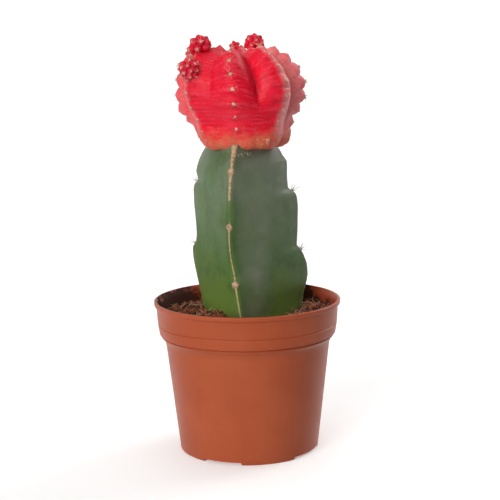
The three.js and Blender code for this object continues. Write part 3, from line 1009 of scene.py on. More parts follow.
@dataclass
class Pot:
    """Small round nursery pot with a lip, a collar, a shoulder, a foot ring with gaps and drain holes.

    Radii are those of the outside unless the name says bore, and a name that ends in z is a height.

    Attributes:
        flare: height over which the body turns out to its shoulder.
        nub: radius of the moulding mark under the floor.
        corner: radius of the foot ring's corners beside its gaps.
        crowding: degrees beside a gap within which points move towards its edge.
        gaps: the gaps in the foot ring, as (azimuth, width in degrees).
        drain_ring: radius of the circle that the drain holes lie on.
        crease: angle in degrees above which an edge of the pot is sharp.
        corner_share: the most that a rounded corner takes of the line beside it.
        corner_steps: shares of a rounded corner where its points lie.
    """

    sides: int = 360
    wall: float = 0.95
    lip_radius: float = 30.0
    lip_top: float = 48.8
    lip_height: float = 1.4
    lip_bore: float = 29.05
    collar_top: float = 29.25
    collar_foot: float = 28.45
    collar_foot_z: float = 38.2
    groove_z: float = 41.5
    groove_depth: float = 0.14
    body_top: float = 26.5
    body_top_z: float = 36.3
    flare: float = 1.3
    body_foot: float = 22.4
    foot_height: float = 0.9
    foot_width: float = 1.7
    floor: float = 1.1
    nub: float = 1.3
    corner: float = 0.45
    crowding: float = 3.0
    gaps: Pairs = ((-23.0, 32.0), (60.0, 40.0), (150.0, 36.0), (240.0, 36.0))
    drains: int = 6
    drain_ring: float = 13.5
    drain_radius: float = 2.0
    drill_sides: int = 48
    drill_length: float = 6.0
    crease: float = 50.0
    corner_share: float = 0.45
    corner_steps: tuple[float, ...] = (0.0, 0.25, 0.5, 0.75, 1.0)

    @property
    def seam_z(self) -> float:
        """Height of the fine groove under the collar."""
        return self.collar_foot_z - 0.3

    @property
    def floor_z(self) -> float:
        """Height of the inside of the floor."""
        return self.foot_height + self.floor

    def outer_corners(self) -> list[tuple[float, float, float]]:
        """Corners of the outside, from the axis up to the lip.

        Returns:
            The corners, as (radius, height, rounding).
        """
        lip_foot = self.lip_top - self.lip_height
        inner_foot = self.body_foot - self.foot_width
        groove = self.collar_foot + 0.3 - self.groove_depth
        return [
            (0.0, self.foot_height - 0.25, 0.0), (self.nub, self.foot_height - 0.25, 0.1),
            (self.nub + 0.2, self.foot_height, 0.1), (inner_foot, self.foot_height, 0.15),
            (inner_foot + 0.25, 0.0, 0.2), (self.body_foot, 0.0, 0.5),
            (self.body_top - 0.1, self.body_top_z - self.flare, 0.8),
            (self.body_top + 0.5, self.body_top_z + 0.1, 0.5),
            (self.collar_foot - 0.5, self.seam_z - 0.4, 0.15), (self.collar_foot - 1.05, self.seam_z, 0.04),
            (self.collar_foot - 0.1, self.seam_z + 0.22, 0.12), (self.collar_foot, self.seam_z + 0.7, 0.3),
            (groove + 0.25, self.groove_z - 0.3, 0.12), (groove, self.groove_z, 0.1),
            (groove + 0.3, self.groove_z + 0.3, 0.12), (self.collar_top, lip_foot - 0.25, 0.2),
            (self.lip_radius - 0.1, lip_foot, 0.25), (self.lip_radius, self.lip_top - 0.15, 0.3),
            (self.lip_radius - 0.35, self.lip_top, 0.2),
        ]

    def inner_corners(self) -> list[tuple[float, float, float]]:
        """Corners of the inside, from the lip down to the axis.

        Returns:
            The corners, as (radius, height, rounding).
        """
        lip_foot = self.lip_top - self.lip_height
        return [
            (self.lip_bore, self.lip_top, 0.25), (self.collar_top - self.wall, lip_foot - 0.4, 0.4),
            (self.collar_foot - self.wall, self.collar_foot_z + 0.5, 0.4),
            (self.body_top - self.wall, self.body_top_z - 0.5, 0.4),
            (self.body_foot - self.wall, self.floor_z, 0.8), (0.0, self.floor_z, 0.0),
        ]

    def outline(self) -> list[Vector]:
        """The closed outline with its corners rounded.

        Returns:
            Its points at azimuth 90.
        """
        corners = self.outer_corners() + self.inner_corners()
        points = [Vector((radius, 0.0, height)) for radius, height, _ in corners]
        line = [points[0]]
        for before, here, after, (_, _, rounding) in zip(points, points[1:], points[2:], corners[1:]):
            back, ahead = (before - here), (after - here)
            cut = min(rounding, back.length * self.corner_share, ahead.length * self.corner_share)
            start, end = here + back.normalized() * cut, here + ahead.normalized() * cut
            for t in self.corner_steps:
                line.append(start * (1 - t) ** 2 + here * 2 * t * (1 - t) + end * t * t)
        return [*line, points[-1]]

    def notch(self, place: Vector) -> Vector:
        """Moves a point of the foot ring: up in a gap, and closer to the gap's edge beside one.

        Args:
            place: a point of the pot.

        Returns:
            Its new place, which is the old one anywhere but on the foot ring.
        """
        below = self.foot_height - place.z
        if below <= 0.0 or place.xy.length < self.nub + 1.0:
            return place
        azimuth = math.degrees(math.atan2(place.x, -place.y))
        at, wide = min(self.gaps, key=lambda gap: abs(abs(wrap(azimuth - gap[0])) - gap[1] / 2.0))
        off = wrap(azimuth - at)
        into = abs(off) - wide / 2.0
        into *= min(abs(into) / self.crowding, 1.0)
        depth = math.radians(into) * self.body_foot / self.corner
        share = math.sqrt(1.0 - (1.0 - min(max(depth, 0.0), 1.0)) ** 2)
        way = compass(at + math.copysign(into + wide / 2.0, off))
        return way * place.xy.length + UP * (self.foot_height - below * share)

    def drill(self, piece: bpy.types.Object) -> None:
        """Cuts the drain holes through the floor.

        Args:
            piece: the finished pot.
        """
        cutter = bmesh.new()
        for i in range(self.drains):
            centre = compass(360.0 * i / self.drains) * self.drain_ring
            stand = Matrix.Translation((centre + UP * self.foot_height) * MM)
            bmesh.ops.create_cone(
                cutter, cap_ends=True, segments=self.drill_sides, radius1=self.drain_radius * MM,
                radius2=self.drain_radius * MM, depth=self.drill_length * MM, matrix=stand,
            )
        mesh = bpy.data.meshes.new("drill")
        cutter.to_mesh(mesh)
        cutter.free()
        drill = bpy.data.objects.new("drill", mesh)
        bpy.context.scene.collection.objects.link(drill)
        modifier = piece.modifiers.new("drain_holes", "BOOLEAN")
        modifier.operation, modifier.object, modifier.solver = "DIFFERENCE", drill, "EXACT"
        bpy.context.view_layer.update()
        cut = bpy.data.meshes.new_from_object(piece.evaluated_get(bpy.context.evaluated_depsgraph_get()))
        piece.modifiers.clear()
        whole, piece.data = piece.data, cut
        cut.name = piece.name
        bpy.data.objects.remove(drill)
        bpy.data.meshes.remove(mesh)
        bpy.data.meshes.remove(whole)

    def build(self) -> None:
        """Turns the pot, notches its foot ring and drills its floor."""
        bench = Bench("inside")
        mesh = bench.mesh
        inside = mesh.verts.layers.float["inside"]
        line = self.outline()
        top = max(range(len(line)), key=lambda i: line[i].z)
        verts = [mesh.verts.new(point) for point in line]
        for i, vert in enumerate(verts):
            vert[inside] = 1.0 if i > top else 0.0
        edges = [mesh.edges.new(pair) for pair in zip(verts, verts[1:])]
        bmesh.ops.spin(
            mesh, geom=[*verts, *edges], cent=(0, 0, 0), axis=(0, 0, 1), angle=math.tau, steps=self.sides,
            use_merge=True,
        )
        bmesh.ops.remove_doubles(mesh, verts=mesh.verts[:], dist=WELD)
        for vert in mesh.verts:
            vert.co = self.notch(vert.co)
        piece = bench.finish("nursery_pot", [PotPlastic().material()], Slot.POT, self.crease, ["pot"])
        self.drill(piece)


@dataclass(frozen=True)
class Wing:
    """One wing of the rootstock. What isn't given is as on the two side wings.

    Attributes:
        azimuth: its azimuth by height.
        margin: distance of its margin from the stem's centre line by height.
        areoles: heights of its areoles.
        cork: width of the corky line on its margin by height.
        cushion: form of its areoles.
        facing: how far they face up, where 1 is as far as they face out.
        stain: how brown the skin beside the margin is.
    """

    azimuth: Line
    margin: Line
    areoles: tuple[float, ...]
    cork: Line = Line(((44.0, 0.3), (99.5, 0.5)))
    cushion: Cushion = Cushion(pad=0.8, wool=20, wool_length=0.6, spines=(6, 8), length=(3.0, 4.8),
                               thick=0.24, spread=(0.2, 0.6))
    facing: float = 0.9
    stain: float = 1.0


WINGS = (
    Wing(
        Line(((44, -6), (57, -9), (68, -11.5), (80, -9.5), (92, -7), (99.5, -4))),
        Line(((24, 16.5), (46, 19.5), (52, 20.8), (56.8, 21.2), (59.4, 20.2), (65, 20.5), (74, 20.2),
              (76.8, 19), (82, 19.3), (91, 18.1), (93.6, 17), (97, 15), (99.5, 13.4))),
        (57.1, 74.8, 91.6),
        Line(((44, 0.45), (55.5, 0.5), (57.1, 1.0), (58.6, 0.4), (73.2, 0.5), (74.8, 1.2), (76.2, 0.1),
              (82.4, 0.1), (84, 0.8), (90, 0.9), (91.6, 1.5), (93, 0.8), (95.2, 1.1), (97, 1.7), (99.5, 2))),
        Cushion(pad=1.2, wool=46, wool_length=0.7, spines=(3, 5), length=(1.0, 1.7), thick=0.14),
        facing=0.1,
        stain=0.0,
    ),
    Wing(
        Line(((24, 111),)),
        Line(((24, 16.5), (47.6, 19.1), (54, 21), (58.5, 21.2), (61, 20.5), (62.9, 19.7), (64.2, 18.8),
              (65, 18.1), (67, 18.3), (76.5, 19.6), (80.7, 19.5), (82.1, 18.8), (82.9, 17.7), (83.8, 16.6),
              (86, 16.4), (92.5, 16.5), (93.1, 16), (94.2, 15.1), (96.1, 14), (97.4, 12.9), (99.5, 11))),
        (63.4, 82.6),
    ),
    Wing(
        Line(((24, 231),)),
        Line(((24, 16.5), (46.5, 19.2), (55.3, 20.9), (60, 21.8), (63.9, 21.5), (66.5, 19.3), (73, 18.9),
              (82, 19), (84.7, 18.4), (86.5, 16.2), (89.6, 17), (95, 14.6), (97.5, 12.7), (99.5, 10.9))),
        (65.1, 85.4),
    ),
)


@dataclass(eq=False)
class Rootstock:
    """Three-winged green stem with corky margins, areoles in its notches and short spines.

    Attributes:
        soil_zone: height from which rows of points lie close.
        row_step: height of those rows.
        tip_round: radius of a wing's edge.
        blunting: how much that radius grows where a notch cuts the wing back.
        wedge: degrees that a wing's edge turns to each side.
        lean: place of the centre line across the pot, below and above lean_span.
        envelope: reach of the wings without their notches, by height.
        faces: distance of the faces between two wings from the centre line, by height.
        swell: height of the soft unevenness of the skin.
        swell_grain: bumps of that unevenness in a millimetre.
        cork_rise: height of the corky lines.
        cork_wander: how far they stray from the margin.
        cork_fade: distances inside a line's edge between which it grows full.
        stain_fade: distances from a margin between which the brown grows full.
        hair_side: azimuths between which the hairs of the graft grow.
        hair_root: how far below the top they come out.
        hair_turn: degrees that they turn aside.
        hair_drop: how far they point down, where 1 is as far as out.
        hair_bow: how far their middle bows out.
    """

    foot: float = 24.0
    top: float = 99.5
    soil_zone: float = 42.0
    row_step: float = 0.36
    tip_round: float = 1.2
    blunting: float = 0.6
    wedge: float = 62.0
    tip_points: int = 28
    face_points: int = 26
    lean: Span = (0.3, -2.0)
    lean_span: Span = (44.0, 92.0)
    envelope: Line = Line(((24, 17), (46, 19.6), (58, 21.8), (72, 20.6), (84, 19.7), (92, 18.1),
                           (99.5, 13.6)))
    faces: Line = Line(((24, 10), (46, 11.2), (58, 12.1), (72, 11.6), (84, 11.1), (92, 10.3), (99.5, 8.3)))
    swell: float = 0.12
    swell_grain: float = 0.16
    cork_rise: float = 0.2
    cork_wander: float = 0.12
    cork_fade: Span = (-0.12, 0.08)
    stain_fade: Span = (2.6, 0.6)
    areole_sunk: float = 0.15
    hairs: int = 16
    hair_side: Span = (-14.0, 8.0)
    hair_root: float = 1.9
    hair_turn: float = 70.0
    hair_drop: Span = (0.4, 1.6)
    hair_length: Span = (2.4, 3.8)
    hair_bow: float = 1.0
    hair_thick: float = 0.2

    def centre(self, height: float) -> float:
        """Place of the stem's centre line across the pot."""
        return mix(*self.lean, ease(height, *self.lean_span))

    def rounding(self, wing: Wing, height: float) -> float:
        """Roundness of a wing's edge: blunter where a notch cuts it back."""
        cut = max(0.0, self.envelope.at(height) - wing.margin.at(height))
        return self.tip_round + self.blunting * cut

    def tip(self, wing: Wing, height: float, inset: float = 0.0) -> Vector:
        """Point on a wing's margin, or inside it by an inset."""
        reach = wing.margin.at(height) - inset
        return Vector((self.centre(height), 0.0, height)) + compass(wing.azimuth.at(height)) * reach

    @lru_cache(maxsize=None)
    def ring(self, height: float, grow: float = 0.0) -> tuple[tuple[Vector, float, int], ...]:
        """Section of the stem.

        Args:
            height: height of the section.
            grow: distance that it is grown outwards.

        Returns:
            Its points, each with its distance from the nearest margin along the skin and the wing.
        """
        middle = Vector((self.centre(height), 0.0, height))
        turns = [wing.azimuth.at(height) for wing in WINGS]
        tips: list[list[tuple[Vector, float]]] = []
        for wing, turn in zip(WINGS, turns):
            rounding = self.rounding(wing, height)
            hub = self.tip(wing, height, rounding)
            arc = []
            for j in range(self.tip_points + 1):
                off = self.wedge * (2.0 * j / self.tip_points - 1.0)
                away = abs(math.radians(off)) * rounding
                arc.append((hub + compass(turn + off) * (rounding + grow), away))
            tips.append(arc)
        points: list[tuple[Vector, float, int]] = []
        for i, arc in enumerate(tips):
            beyond = (i + 1) % len(tips)
            points += [(point, away, i) for point, away in arc]
            (start, near), (end, far) = arc[-1], tips[beyond][0]
            halfway = (turns[i] + turns[beyond] + (0.0 if beyond else 360.0)) / 2.0
            crown = middle + compass(halfway) * (self.faces.at(height) + grow)
            control = crown * 2.0 - (start + end) / 2.0
            for k in range(1, self.face_points):
                t = k / self.face_points
                point = start * (1 - t) ** 2 + control * 2 * t * (1 - t) + end * t * t
                nearest = i if t < 0.5 else beyond
                away = (point - start).length + near if t < 0.5 else (point - end).length + far
                points.append((point, away, nearest))
        return tuple(points)

    @lru_cache(maxsize=None)
    def polar(self, height: float, grow: float) -> list[Span]:
        """Section of the stem round the pot's axis.

        Args:
            height: height of the section.
            grow: distance that it is grown outwards.

        Returns:
            Its points as (azimuth, distance from the axis), in order of azimuth.
        """
        return sorted(
            (math.degrees(math.atan2(point.x, -point.y)), point.xy.length)
            for point, _, _ in self.ring(height, grow)
        )

    def reach(self, azimuth: float, height: float, grow: float) -> float:
        """Distance from the pot's axis to the stem's skin.

        Args:
            azimuth: where to measure it.
            height: height of the section.
            grow: distance that the section is grown outwards.

        Returns:
            The distance.
        """
        polar = self.polar(height, grow)
        here = wrap(azimuth)
        i = bisect(polar, (here, math.inf)) % len(polar)
        (a0, r0), (a1, r1) = polar[i - 1], polar[i]
        return mix(r0, r1, ((here - a0) % 360.0) / ((a1 - a0) % 360.0))

    def skin(self) -> None:
        """Builds the stem's skin with its cork lines."""
        heights = [self.foot, self.foot, mix(self.foot, self.soil_zone, 0.5)]
        count = round((self.top - self.soil_zone) / self.row_step)
        heights += [mix(self.soil_zone, self.top, i / count) for i in range(count + 1)]
        heights.append(self.top)
        columns = len(self.ring(self.top))
        last = len(heights) - 1

        def spot(column: int, row: int) -> Spot:
            """Point of the skin.

            Args:
                column: step round the stem.
                row: number of its height.

            Returns:
                The point with its marks.
            """
            height = heights[row]
            centre = Vector((self.centre(height), 0.0, height))
            if row in (0, last):
                return centre, {"cork": 0.0, "edge": 0.0}
            point, away, nearest = self.ring(height)[column % columns]
            width = WINGS[nearest].cork.at(height) * (1.0 + 0.5 * noise.noise(point * 0.9))
            wander = self.cork_wander * noise.noise(Vector((nearest * 9.0, 0.0, height * 0.7)))
            cork = ease(width / 2.0 - abs(away + wander), *self.cork_fade)
            edge = ease(away, *self.stain_fade) * WINGS[nearest].stain
            relief = self.swell * noise.fractal(point * self.swell_grain, 0.9, 2.0, 3)
            relief += cork * self.cork_rise * (0.7 + 0.8 * noise.noise(point * 2.3))
            outward = (point - centre).normalized()
            return point + outward * relief, {"cork": cork, "edge": edge}

        bench = Bench("cork", "edge")
        bench.sheet(columns, last, spot)
        bench.finish("stem_skin", [GreenSkin().material()], Slot.GREEN, stands_for=["rootstock"])

    def lay_hairs(self, bench: Bench, draw: random.Random, material: int) -> None:
        """Lays the hairs that stick out of the graft.

        Args:
            bench: the mesh that they go into.
            draw: source of their variety.
            material: material number of the hairs.
        """
        for _ in range(self.hairs):
            azimuth = draw.uniform(*self.hair_side)
            skin = compass(azimuth) * self.reach(azimuth, self.top, 0.0)
            root = skin + UP * (self.top - self.hair_root)
            way = compass(azimuth + draw.uniform(-self.hair_turn, self.hair_turn))
            way = way - UP * draw.uniform(*self.hair_drop)
            tip = root + way.normalized() * draw.uniform(*self.hair_length)
            middle = root.lerp(tip, 0.5) + compass(azimuth) * self.hair_bow
            bench.strand((root, middle, tip), self.hair_thick, 3, material)

    def areoles(self) -> None:
        """Grows the areoles on the wing margins, and the hairs that stick out of the graft."""
        draw = random.Random(11)
        bench = Bench()
        for wing in WINGS:
            for height in wing.areoles:
                outward = (compass(wing.azimuth.at(height)) + UP * wing.facing).normalized()
                wing.cushion.grow(bench, self.tip(wing, height, self.areole_sunk), outward, draw)
        self.lay_hairs(bench, draw, 2)
        wool = Wool("corky_wool", paint(206, 172, 140), paint(146, 104, 76)).material()
        horn = SpineHorn("grey_horn", paint(150, 124, 100), paint(96, 74, 58)).material()
        hair = Wool("graft_hair", paint(246, 236, 216), paint(224, 200, 168)).material()
        bench.finish("stem_areoles", [wool, horn, hair], Slot.GREEN)


@dataclass
class Soil:
    """Peat with a rough top, crumbs, curled fibres and wood chips, and a hole for the stem.

    Attributes:
        level: height of its top.
        mounds: its mounds, as (x, y, spread, rise).
        crumb: height of its coarse crumbs.
        fine: height of its fine crumbs.
        gap: distance from the wall, the floor and the stem's foot.
        crumb_size: half size of a crumb, least and most.
        clod_size: half size of a clod, least and most.
        chip_sizes: their three half sizes, least and most.
        fibre_curl: radians that a fibre turns at each step.
        tangles: azimuths round which fibres lie close.
    """

    pot: Pot
    stem: Rootstock
    level: float = 43.7
    mounds: tuple[tuple[float, float, float, float], ...] = (
        (-11.0, -12.0, 7.0, 3.4), (21.0, 6.0, 6.0, 1.6), (-17.0, 9.0, 7.0, 0.9))
    crumb: float = 0.55
    fine: float = 0.55
    columns: int = 480
    rows: int = 42
    gap: float = 0.3
    crumbs: int = 1100
    crumb_size: Span = (0.16, 0.5)
    clods: int = 110
    clod_size: Span = (0.55, 1.15)
    chips: int = 34
    chip_sizes: tuple[Span, Span, Span] = ((0.8, 1.7), (0.3, 0.55), (0.12, 0.25))
    fibres: int = 230
    fibre_length: Span = (1.6, 5.2)
    fibre_thick: Span = (0.1, 0.26)
    fibre_curl: Span = (-0.84, 0.84)
    fibre_steps: int = 6
    tangles: tuple[float, ...] = (-112.0, -118.0, -58.0, -40.0, 78.0, 86.0, 66.0, 112.0)
    peat_number, fibre_number, wood_number = 0, 1, 2

    @property
    def rim(self) -> float:
        """Distance from the axis within which loose pieces stay."""
        return self.pot.collar_top - self.pot.wall - 0.8

    def height(self, x: float, y: float) -> float:
        """Height of the soil: level, mounds and large crumbs.

        Args:
            x: place across the pot.
            y: place towards its back.

        Returns:
            The height.
        """
        height = self.level
        for mound_x, mound_y, spread, rise in self.mounds:
            height += rise * math.exp(-((x - mound_x) ** 2 + (y - mound_y) ** 2) / spread ** 2)
        grain = math.sin(1.9 * x + 1.3 * math.sin(1.1 * y)) * math.sin(2.1 * y + 1.7 * math.sin(0.9 * x))
        clod = math.sin(0.83 * x - 0.4 * y + 1) * math.sin(0.71 * y + 0.3 * x + 2)
        return height + self.crumb * (0.8 * grain + 0.7 * clod)

    def rough(self, place: Vector) -> Vector:
        """Point of the soil with its fine crumbs, at a level place."""
        fine = noise.turbulence(place * 0.9, 4, False, amplitude_scale=0.6, frequency_scale=2.1)
        return place + UP * (self.height(place.x, place.y) + self.fine * (fine - 0.6))

    def ground(self) -> None:
        """Builds the filling: bottom, wall, rough top and the hole for the stem."""
        pot, stem = self.pot, self.stem
        clear = pot.wall + self.gap
        bed = pot.floor_z + self.gap
        hole = stem.foot - self.gap
        edge = (pot.collar_foot + pot.collar_top) / 2.0 - clear - 0.1
        wall = [
            (edge - 0.1, pot.collar_foot_z + 3.0), (pot.collar_foot - clear - 0.1, pot.collar_foot_z + 0.9),
            (pot.body_top - clear - 0.1, pot.body_top_z - 0.3), (pot.body_foot - clear, bed + 0.9),
            (pot.body_foot - clear - 0.9, bed), (0.0, bed),
        ]
        before = 3

        def spot(column: int, row: int) -> Spot:
            """Point of the filling, from the bottom of the hole out over the top and down the wall.

            Args:
                column: step round the filling.
                row: step along that way.

            Returns:
                The point, without marks.
            """
            azimuth = 360.0 * (column % self.columns) / self.columns
            way = compass(azimuth)
            if row == 0:
                return Vector((0.0, 0.0, hole)), {}
            top = row - before
            if top > self.rows:
                radius, height = wall[top - self.rows - 1]
                return way * radius + UP * height, {}
            inner = stem.reach(azimuth, *((self.level, 0.15) if row > 1 else (hole + 1.0, 0.3)))
            if top < 0:
                return way * inner + UP * (hole if row == 1 else self.level - 3.0), {}
            return self.rough(way * mix(inner, edge, top / self.rows)), {}

        bench = Bench()
        bench.sheet(self.columns, before + self.rows + len(wall), spot)
        bench.finish("peat_ground", [PeatCrumb().material()], Slot.PEAT, stands_for=["soil"])

    def seat(self, draw: random.Random, margin: float, azimuth: Union[float, None] = None) -> Vector:
        """Random place on the soil.

        Args:
            draw: source of the place.
            margin: distance that it keeps from the stem and the wall.
            azimuth: where round the pot; anywhere without it.

        Returns:
            The place.
        """
        turn = draw.uniform(0.0, 360.0) if azimuth is None else azimuth
        inner = self.stem.reach(turn, self.level + 1.0, 0.2) + margin
        away = math.sqrt(mix(inner ** 2, (self.rim - margin) ** 2, draw.random()))
        return self.rough(compass(turn) * away)

    def strew_crumbs(self, bench: Bench, draw: random.Random) -> None:
        """Strews the crumbs, the clods and the chips, every other one of which is wood.

        Args:
            bench: the mesh that they go into.
            draw: source of their variety.
        """
        for i in range(self.crumbs + self.clods):
            large = i >= self.crumbs
            size = draw.uniform(*(self.clod_size if large else self.crumb_size))
            sizes = (size, size * draw.uniform(0.6, 0.95), size * draw.uniform(0.5, 0.8))
            place = self.seat(draw, size * 0.7) + UP * size * 0.15
            tilt = Vector((draw.uniform(-0.6, 0.6), draw.uniform(-0.6, 0.6), 1.0)).normalized()
            bench.lump(place, tilt, sizes, 2 if large else 1, 0.2, self.peat_number, draw)
        for i in range(self.chips):
            place = self.seat(draw, 0.9) + UP * 0.2
            flat = Vector((draw.uniform(-0.7, 0.7), draw.uniform(-0.7, 0.7), 0.8)).normalized()
            sizes = [draw.uniform(*span) for span in self.chip_sizes]
            number = self.wood_number if i % 2 else self.peat_number
            bench.lump(place, flat, sizes, 1, 0.15, number, draw)

    def lay_fibre(self, bench: Bench, draw: random.Random, azimuth: Union[float, None]) -> None:
        """Lays one curled fibre on the soil.

        Args:
            bench: the mesh that it goes into.
            draw: source of its variety.
            azimuth: where round the pot it starts; anywhere without it.
        """
        root = self.seat(draw, 0.4, azimuth)
        turn = math.tau * draw.random()
        heading = Vector((math.cos(turn), math.sin(turn), draw.uniform(0.0, 1.8))).normalized()
        length, curl = draw.uniform(*self.fibre_length), draw.uniform(*self.fibre_curl)
        path = [root - UP * 0.25]
        for _ in range(self.fibre_steps):
            heading.rotate(Matrix.Rotation(curl, 3, "Z"))
            heading = (heading - UP * draw.uniform(0.0, 0.34)).normalized()
            step = path[-1] + heading * length / self.fibre_steps
            step.z = max(step.z, self.height(step.x, step.y) + 0.05)
            if step.xy.length > self.rim:
                step.xy = step.xy.normalized() * self.rim
            path.append(step)
        bench.strand(path, draw.uniform(*self.fibre_thick), 4, self.fibre_number)

    def litter(self) -> None:
        """Scatters crumbs, clods, chips and fibres over the top; one fibre in four lies anywhere."""
        draw = random.Random(5)
        bench = Bench()
        self.strew_crumbs(bench, draw)
        for i in range(self.fibres):
            near = self.tangles[i % len(self.tangles)] + draw.gauss(0.0, 10.0) if i % 4 else None
            self.lay_fibre(bench, draw, near)
        materials = [PeatCrumb().material(), PlantFibre().material(),
                     PlantFibre("wood_chip", paint(150, 110, 82), paint(92, 60, 42), 0.8).material()]
        bench.finish("peat_litter", materials, Slot.PEAT, 25.0)


@dataclass(frozen=True)
class Ribs:
    """Form of the scion: eight ribs notched into tubercles, between a crest and a valley outline.

    Rows with a number for each rib are shares of the outline or of another size.

    Attributes:
        apex_shift: how far its top leans across, over the heights of apex_span.
        twist: degrees that the ribs turn from the underside to the top.
        reach: reach of each rib, which takes over from tuck over the heights of tuck_span.
        lobes: how far the tubercles of each rib stand out.
        depths: depth of the valley after each rib, up to the heights of depth_span.
        high_depths: the same above them.
        swell: how far each rib bulges at the height swell_at, fading over swell_span.
        crest: outline over a rib.
        valley: outline between two ribs.
        fullness: power of a deep rib's roundness.
        pitch: distance between two tubercles.
        notched: shares of the outline between which ribs are notched.
        scallop: height of a tubercle over the notch beside it.
        fold: the same in a valley.
        fold_fade: power with which notches fade down a rib's side.
        phases: how far the tubercles of each rib are moved along it.
    """

    centre: float = -0.8
    apex_shift: float = -1.3
    apex_span: tuple[float, float] = (116.0, 127.0)
    twist: float = -5.0
    azimuths: tuple[float, ...] = (-4, 45, 87, 131, 176, 221, 266, 309)
    reach: tuple[float, ...] = (1, 1, 0.975, 1, 1, 1, 0.97, 1)
    tuck: tuple[float, ...] = (0.9, 1, 1.05, 1, 0.98, 0.95, 0.87, 0.97)
    tuck_span: tuple[float, float] = (99.5, 107.0)
    lobes: tuple[float, ...] = (0.4, 0.7, 1, 1, 1, 1, 1, 0.75)
    depths: tuple[float, ...] = (0.3, 0.85, 1, 1, 1, 1, 0.9, 0.12)
    high_depths: tuple[float, ...] = (1, 1, 1, 1, 1, 1, 1, 0.45)
    depth_span: tuple[float, float] = (109.0, 121.0)
    swell: tuple[float, ...] = (0, 0, 0.3, 0, 0, 0, 1.6, 0)
    swell_at: float = 110.0
    swell_span: float = 5.0
    crest: Curve = Curve((
        (0, 98.6), (7, 98), (11.3, 97.5), (13.8, 98.7), (14.9, 101.4), (15.2, 104.6), (15.9, 107.2),
        (17.6, 109.8), (19.2, 113), (19.8, 116.8), (19.1, 120.8), (17, 124.5), (13.2, 127.3), (8.7, 128.2),
        (4.4, 127.1), (0, 125.8)))
    valley: Curve = Curve((
        (0, 98.6), (6.6, 98.3), (10.4, 98.2), (12.7, 99.5), (14, 101.8), (14.4, 104.6), (14.9, 107.2),
        (15.4, 109.8), (16, 112.4), (15.7, 115.2), (14.6, 118.2), (12.2, 121.4), (8.8, 124), (5.4, 124.7),
        (2.8, 125.2), (0, 125.8)))
    fullness: float = 0.75
    shallow_fullness: float = 1.7
    pitch: float = 4.4
    notched: tuple[float, float] = (0.3, 0.885)
    scallop: float = 1.15
    fold: float = 0.1
    fold_fade: float = 5.0
    phases: tuple[float, ...] = (0, 0.5, 0.75, 0.25, 0.5, 0, 0.5, 0.25)

    @property
    def span(self) -> float:
        """Share of the outline where ribs are notched."""
        return self.notched[1] - self.notched[0]

    @cached_property
    def count(self) -> int:
        """Tubercles on each rib."""
        return round(self.crest.length * self.span / self.pitch)

    @lru_cache(maxsize=None)
    def tubercle(self, rib: int, share: float) -> float:
        """How far a tubercle stands.

        Args:
            rib: number of the rib.
            share: share of the outline.

        Returns:
            0 in a notch, 1 on a tubercle's top.
        """
        low, high = self.notched
        step = (share - low) / self.span * self.count + self.phases[rib]
        inside = ease(share, low - 0.01, low + 0.04) * (1.0 - ease(share, high, high + 0.05))
        return inside * abs(math.sin(math.pi * step)) ** 0.7

    def depth(self, rib: int, across: float, height: float) -> float:
        """How deep the valley on one side of a rib is, from 0 for level to 1 for full depth."""
        after = (rib - 1) % len(self.azimuths) if across < 0 else rib
        return mix(self.depths[after], self.high_depths[after], ease(height, *self.depth_span))

    def point(self, rib: int, share: float, across: float, lift: float = 0.0) -> Vector:
        """Point on the scion's skin.

        Args:
            rib: number of the rib.
            share: share of the outline from the underside to the apex.
            across: -1 in the valley before the rib, 0 on its crest, 1 in the valley after it.
            lift: extra distance off the skin.

        Returns:
            The point.
        """
        beside = (rib + (1 if across > 0 else -1 if across < 0 else 0)) % len(self.azimuths)
        to_valley = wrap(self.azimuths[beside] - self.azimuths[rib]) / 2.0
        azimuth = self.azimuths[rib] + to_valley * abs(across) + self.twist * share
        crest, slope = self.crest.at(share)
        depth = self.depth(rib, across, crest.y)
        bend = mix(self.shallow_fullness, self.fullness, depth)
        full = math.cos(math.pi / 2.0 * min(abs(across), 1.0)) ** bend
        lobe = mix(self.fold, self.scallop * self.lobes[rib], full ** self.fold_fade)
        swell = self.swell[rib] * math.exp(-(((crest.y - self.swell_at) / self.swell_span) ** 2))
        lift += self.tubercle(rib, share) * full * lobe + swell * full
        high = ease(crest.y, *self.tuck_span)
        reach, other = (mix(self.tuck[i], self.reach[i], high) for i in (rib, beside))
        level = Vector((crest.x * (reach + other) / 2.0, crest.y))
        valley = level.lerp(self.valley.at(share)[0], depth)
        radius = mix(valley.x, crest.x * mix(1.0, reach, full), full) + lift * slope.y
        height = mix(valley.y, crest.y, full) - lift * slope.x
        centre = self.centre + self.apex_shift * ease(height, *self.apex_span)
        return Vector((centre, 0.0, height)) + compass(azimuth) * radius

    def place(self, rib: int, share: float, across: float = 0.0) -> tuple[Vector, Vector]:
        """Place on a rib.

        Args:
            rib: number of the rib.
            share: share of the outline.
            across: as in point.

        Returns:
            The place and the skin's outward direction.
        """
        sideways = self.point(rib, share, across + 0.2) - self.point(rib, share, across - 0.2)
        upward = self.point(rib, share + 0.03, across) - self.point(rib, share - 0.03, across)
        return self.point(rib, share, across), sideways.cross(upward).normalized()

    def areoles(self) -> list[tuple[Vector, Vector]]:
        """Places of the areoles, one on top of each tubercle.

        Returns:
            The places, each with the skin's outward direction.
        """
        found = []
        for rib, phase in enumerate(self.phases):
            for i in range(self.count):
                step = i + 0.5 - phase + (1.0 if phase > 0.5 else 0.0)
                share = self.notched[0] + self.span * step / self.count
                if self.notched[0] < share < self.notched[1]:
                    found.append(self.place(rib, share))
        return found


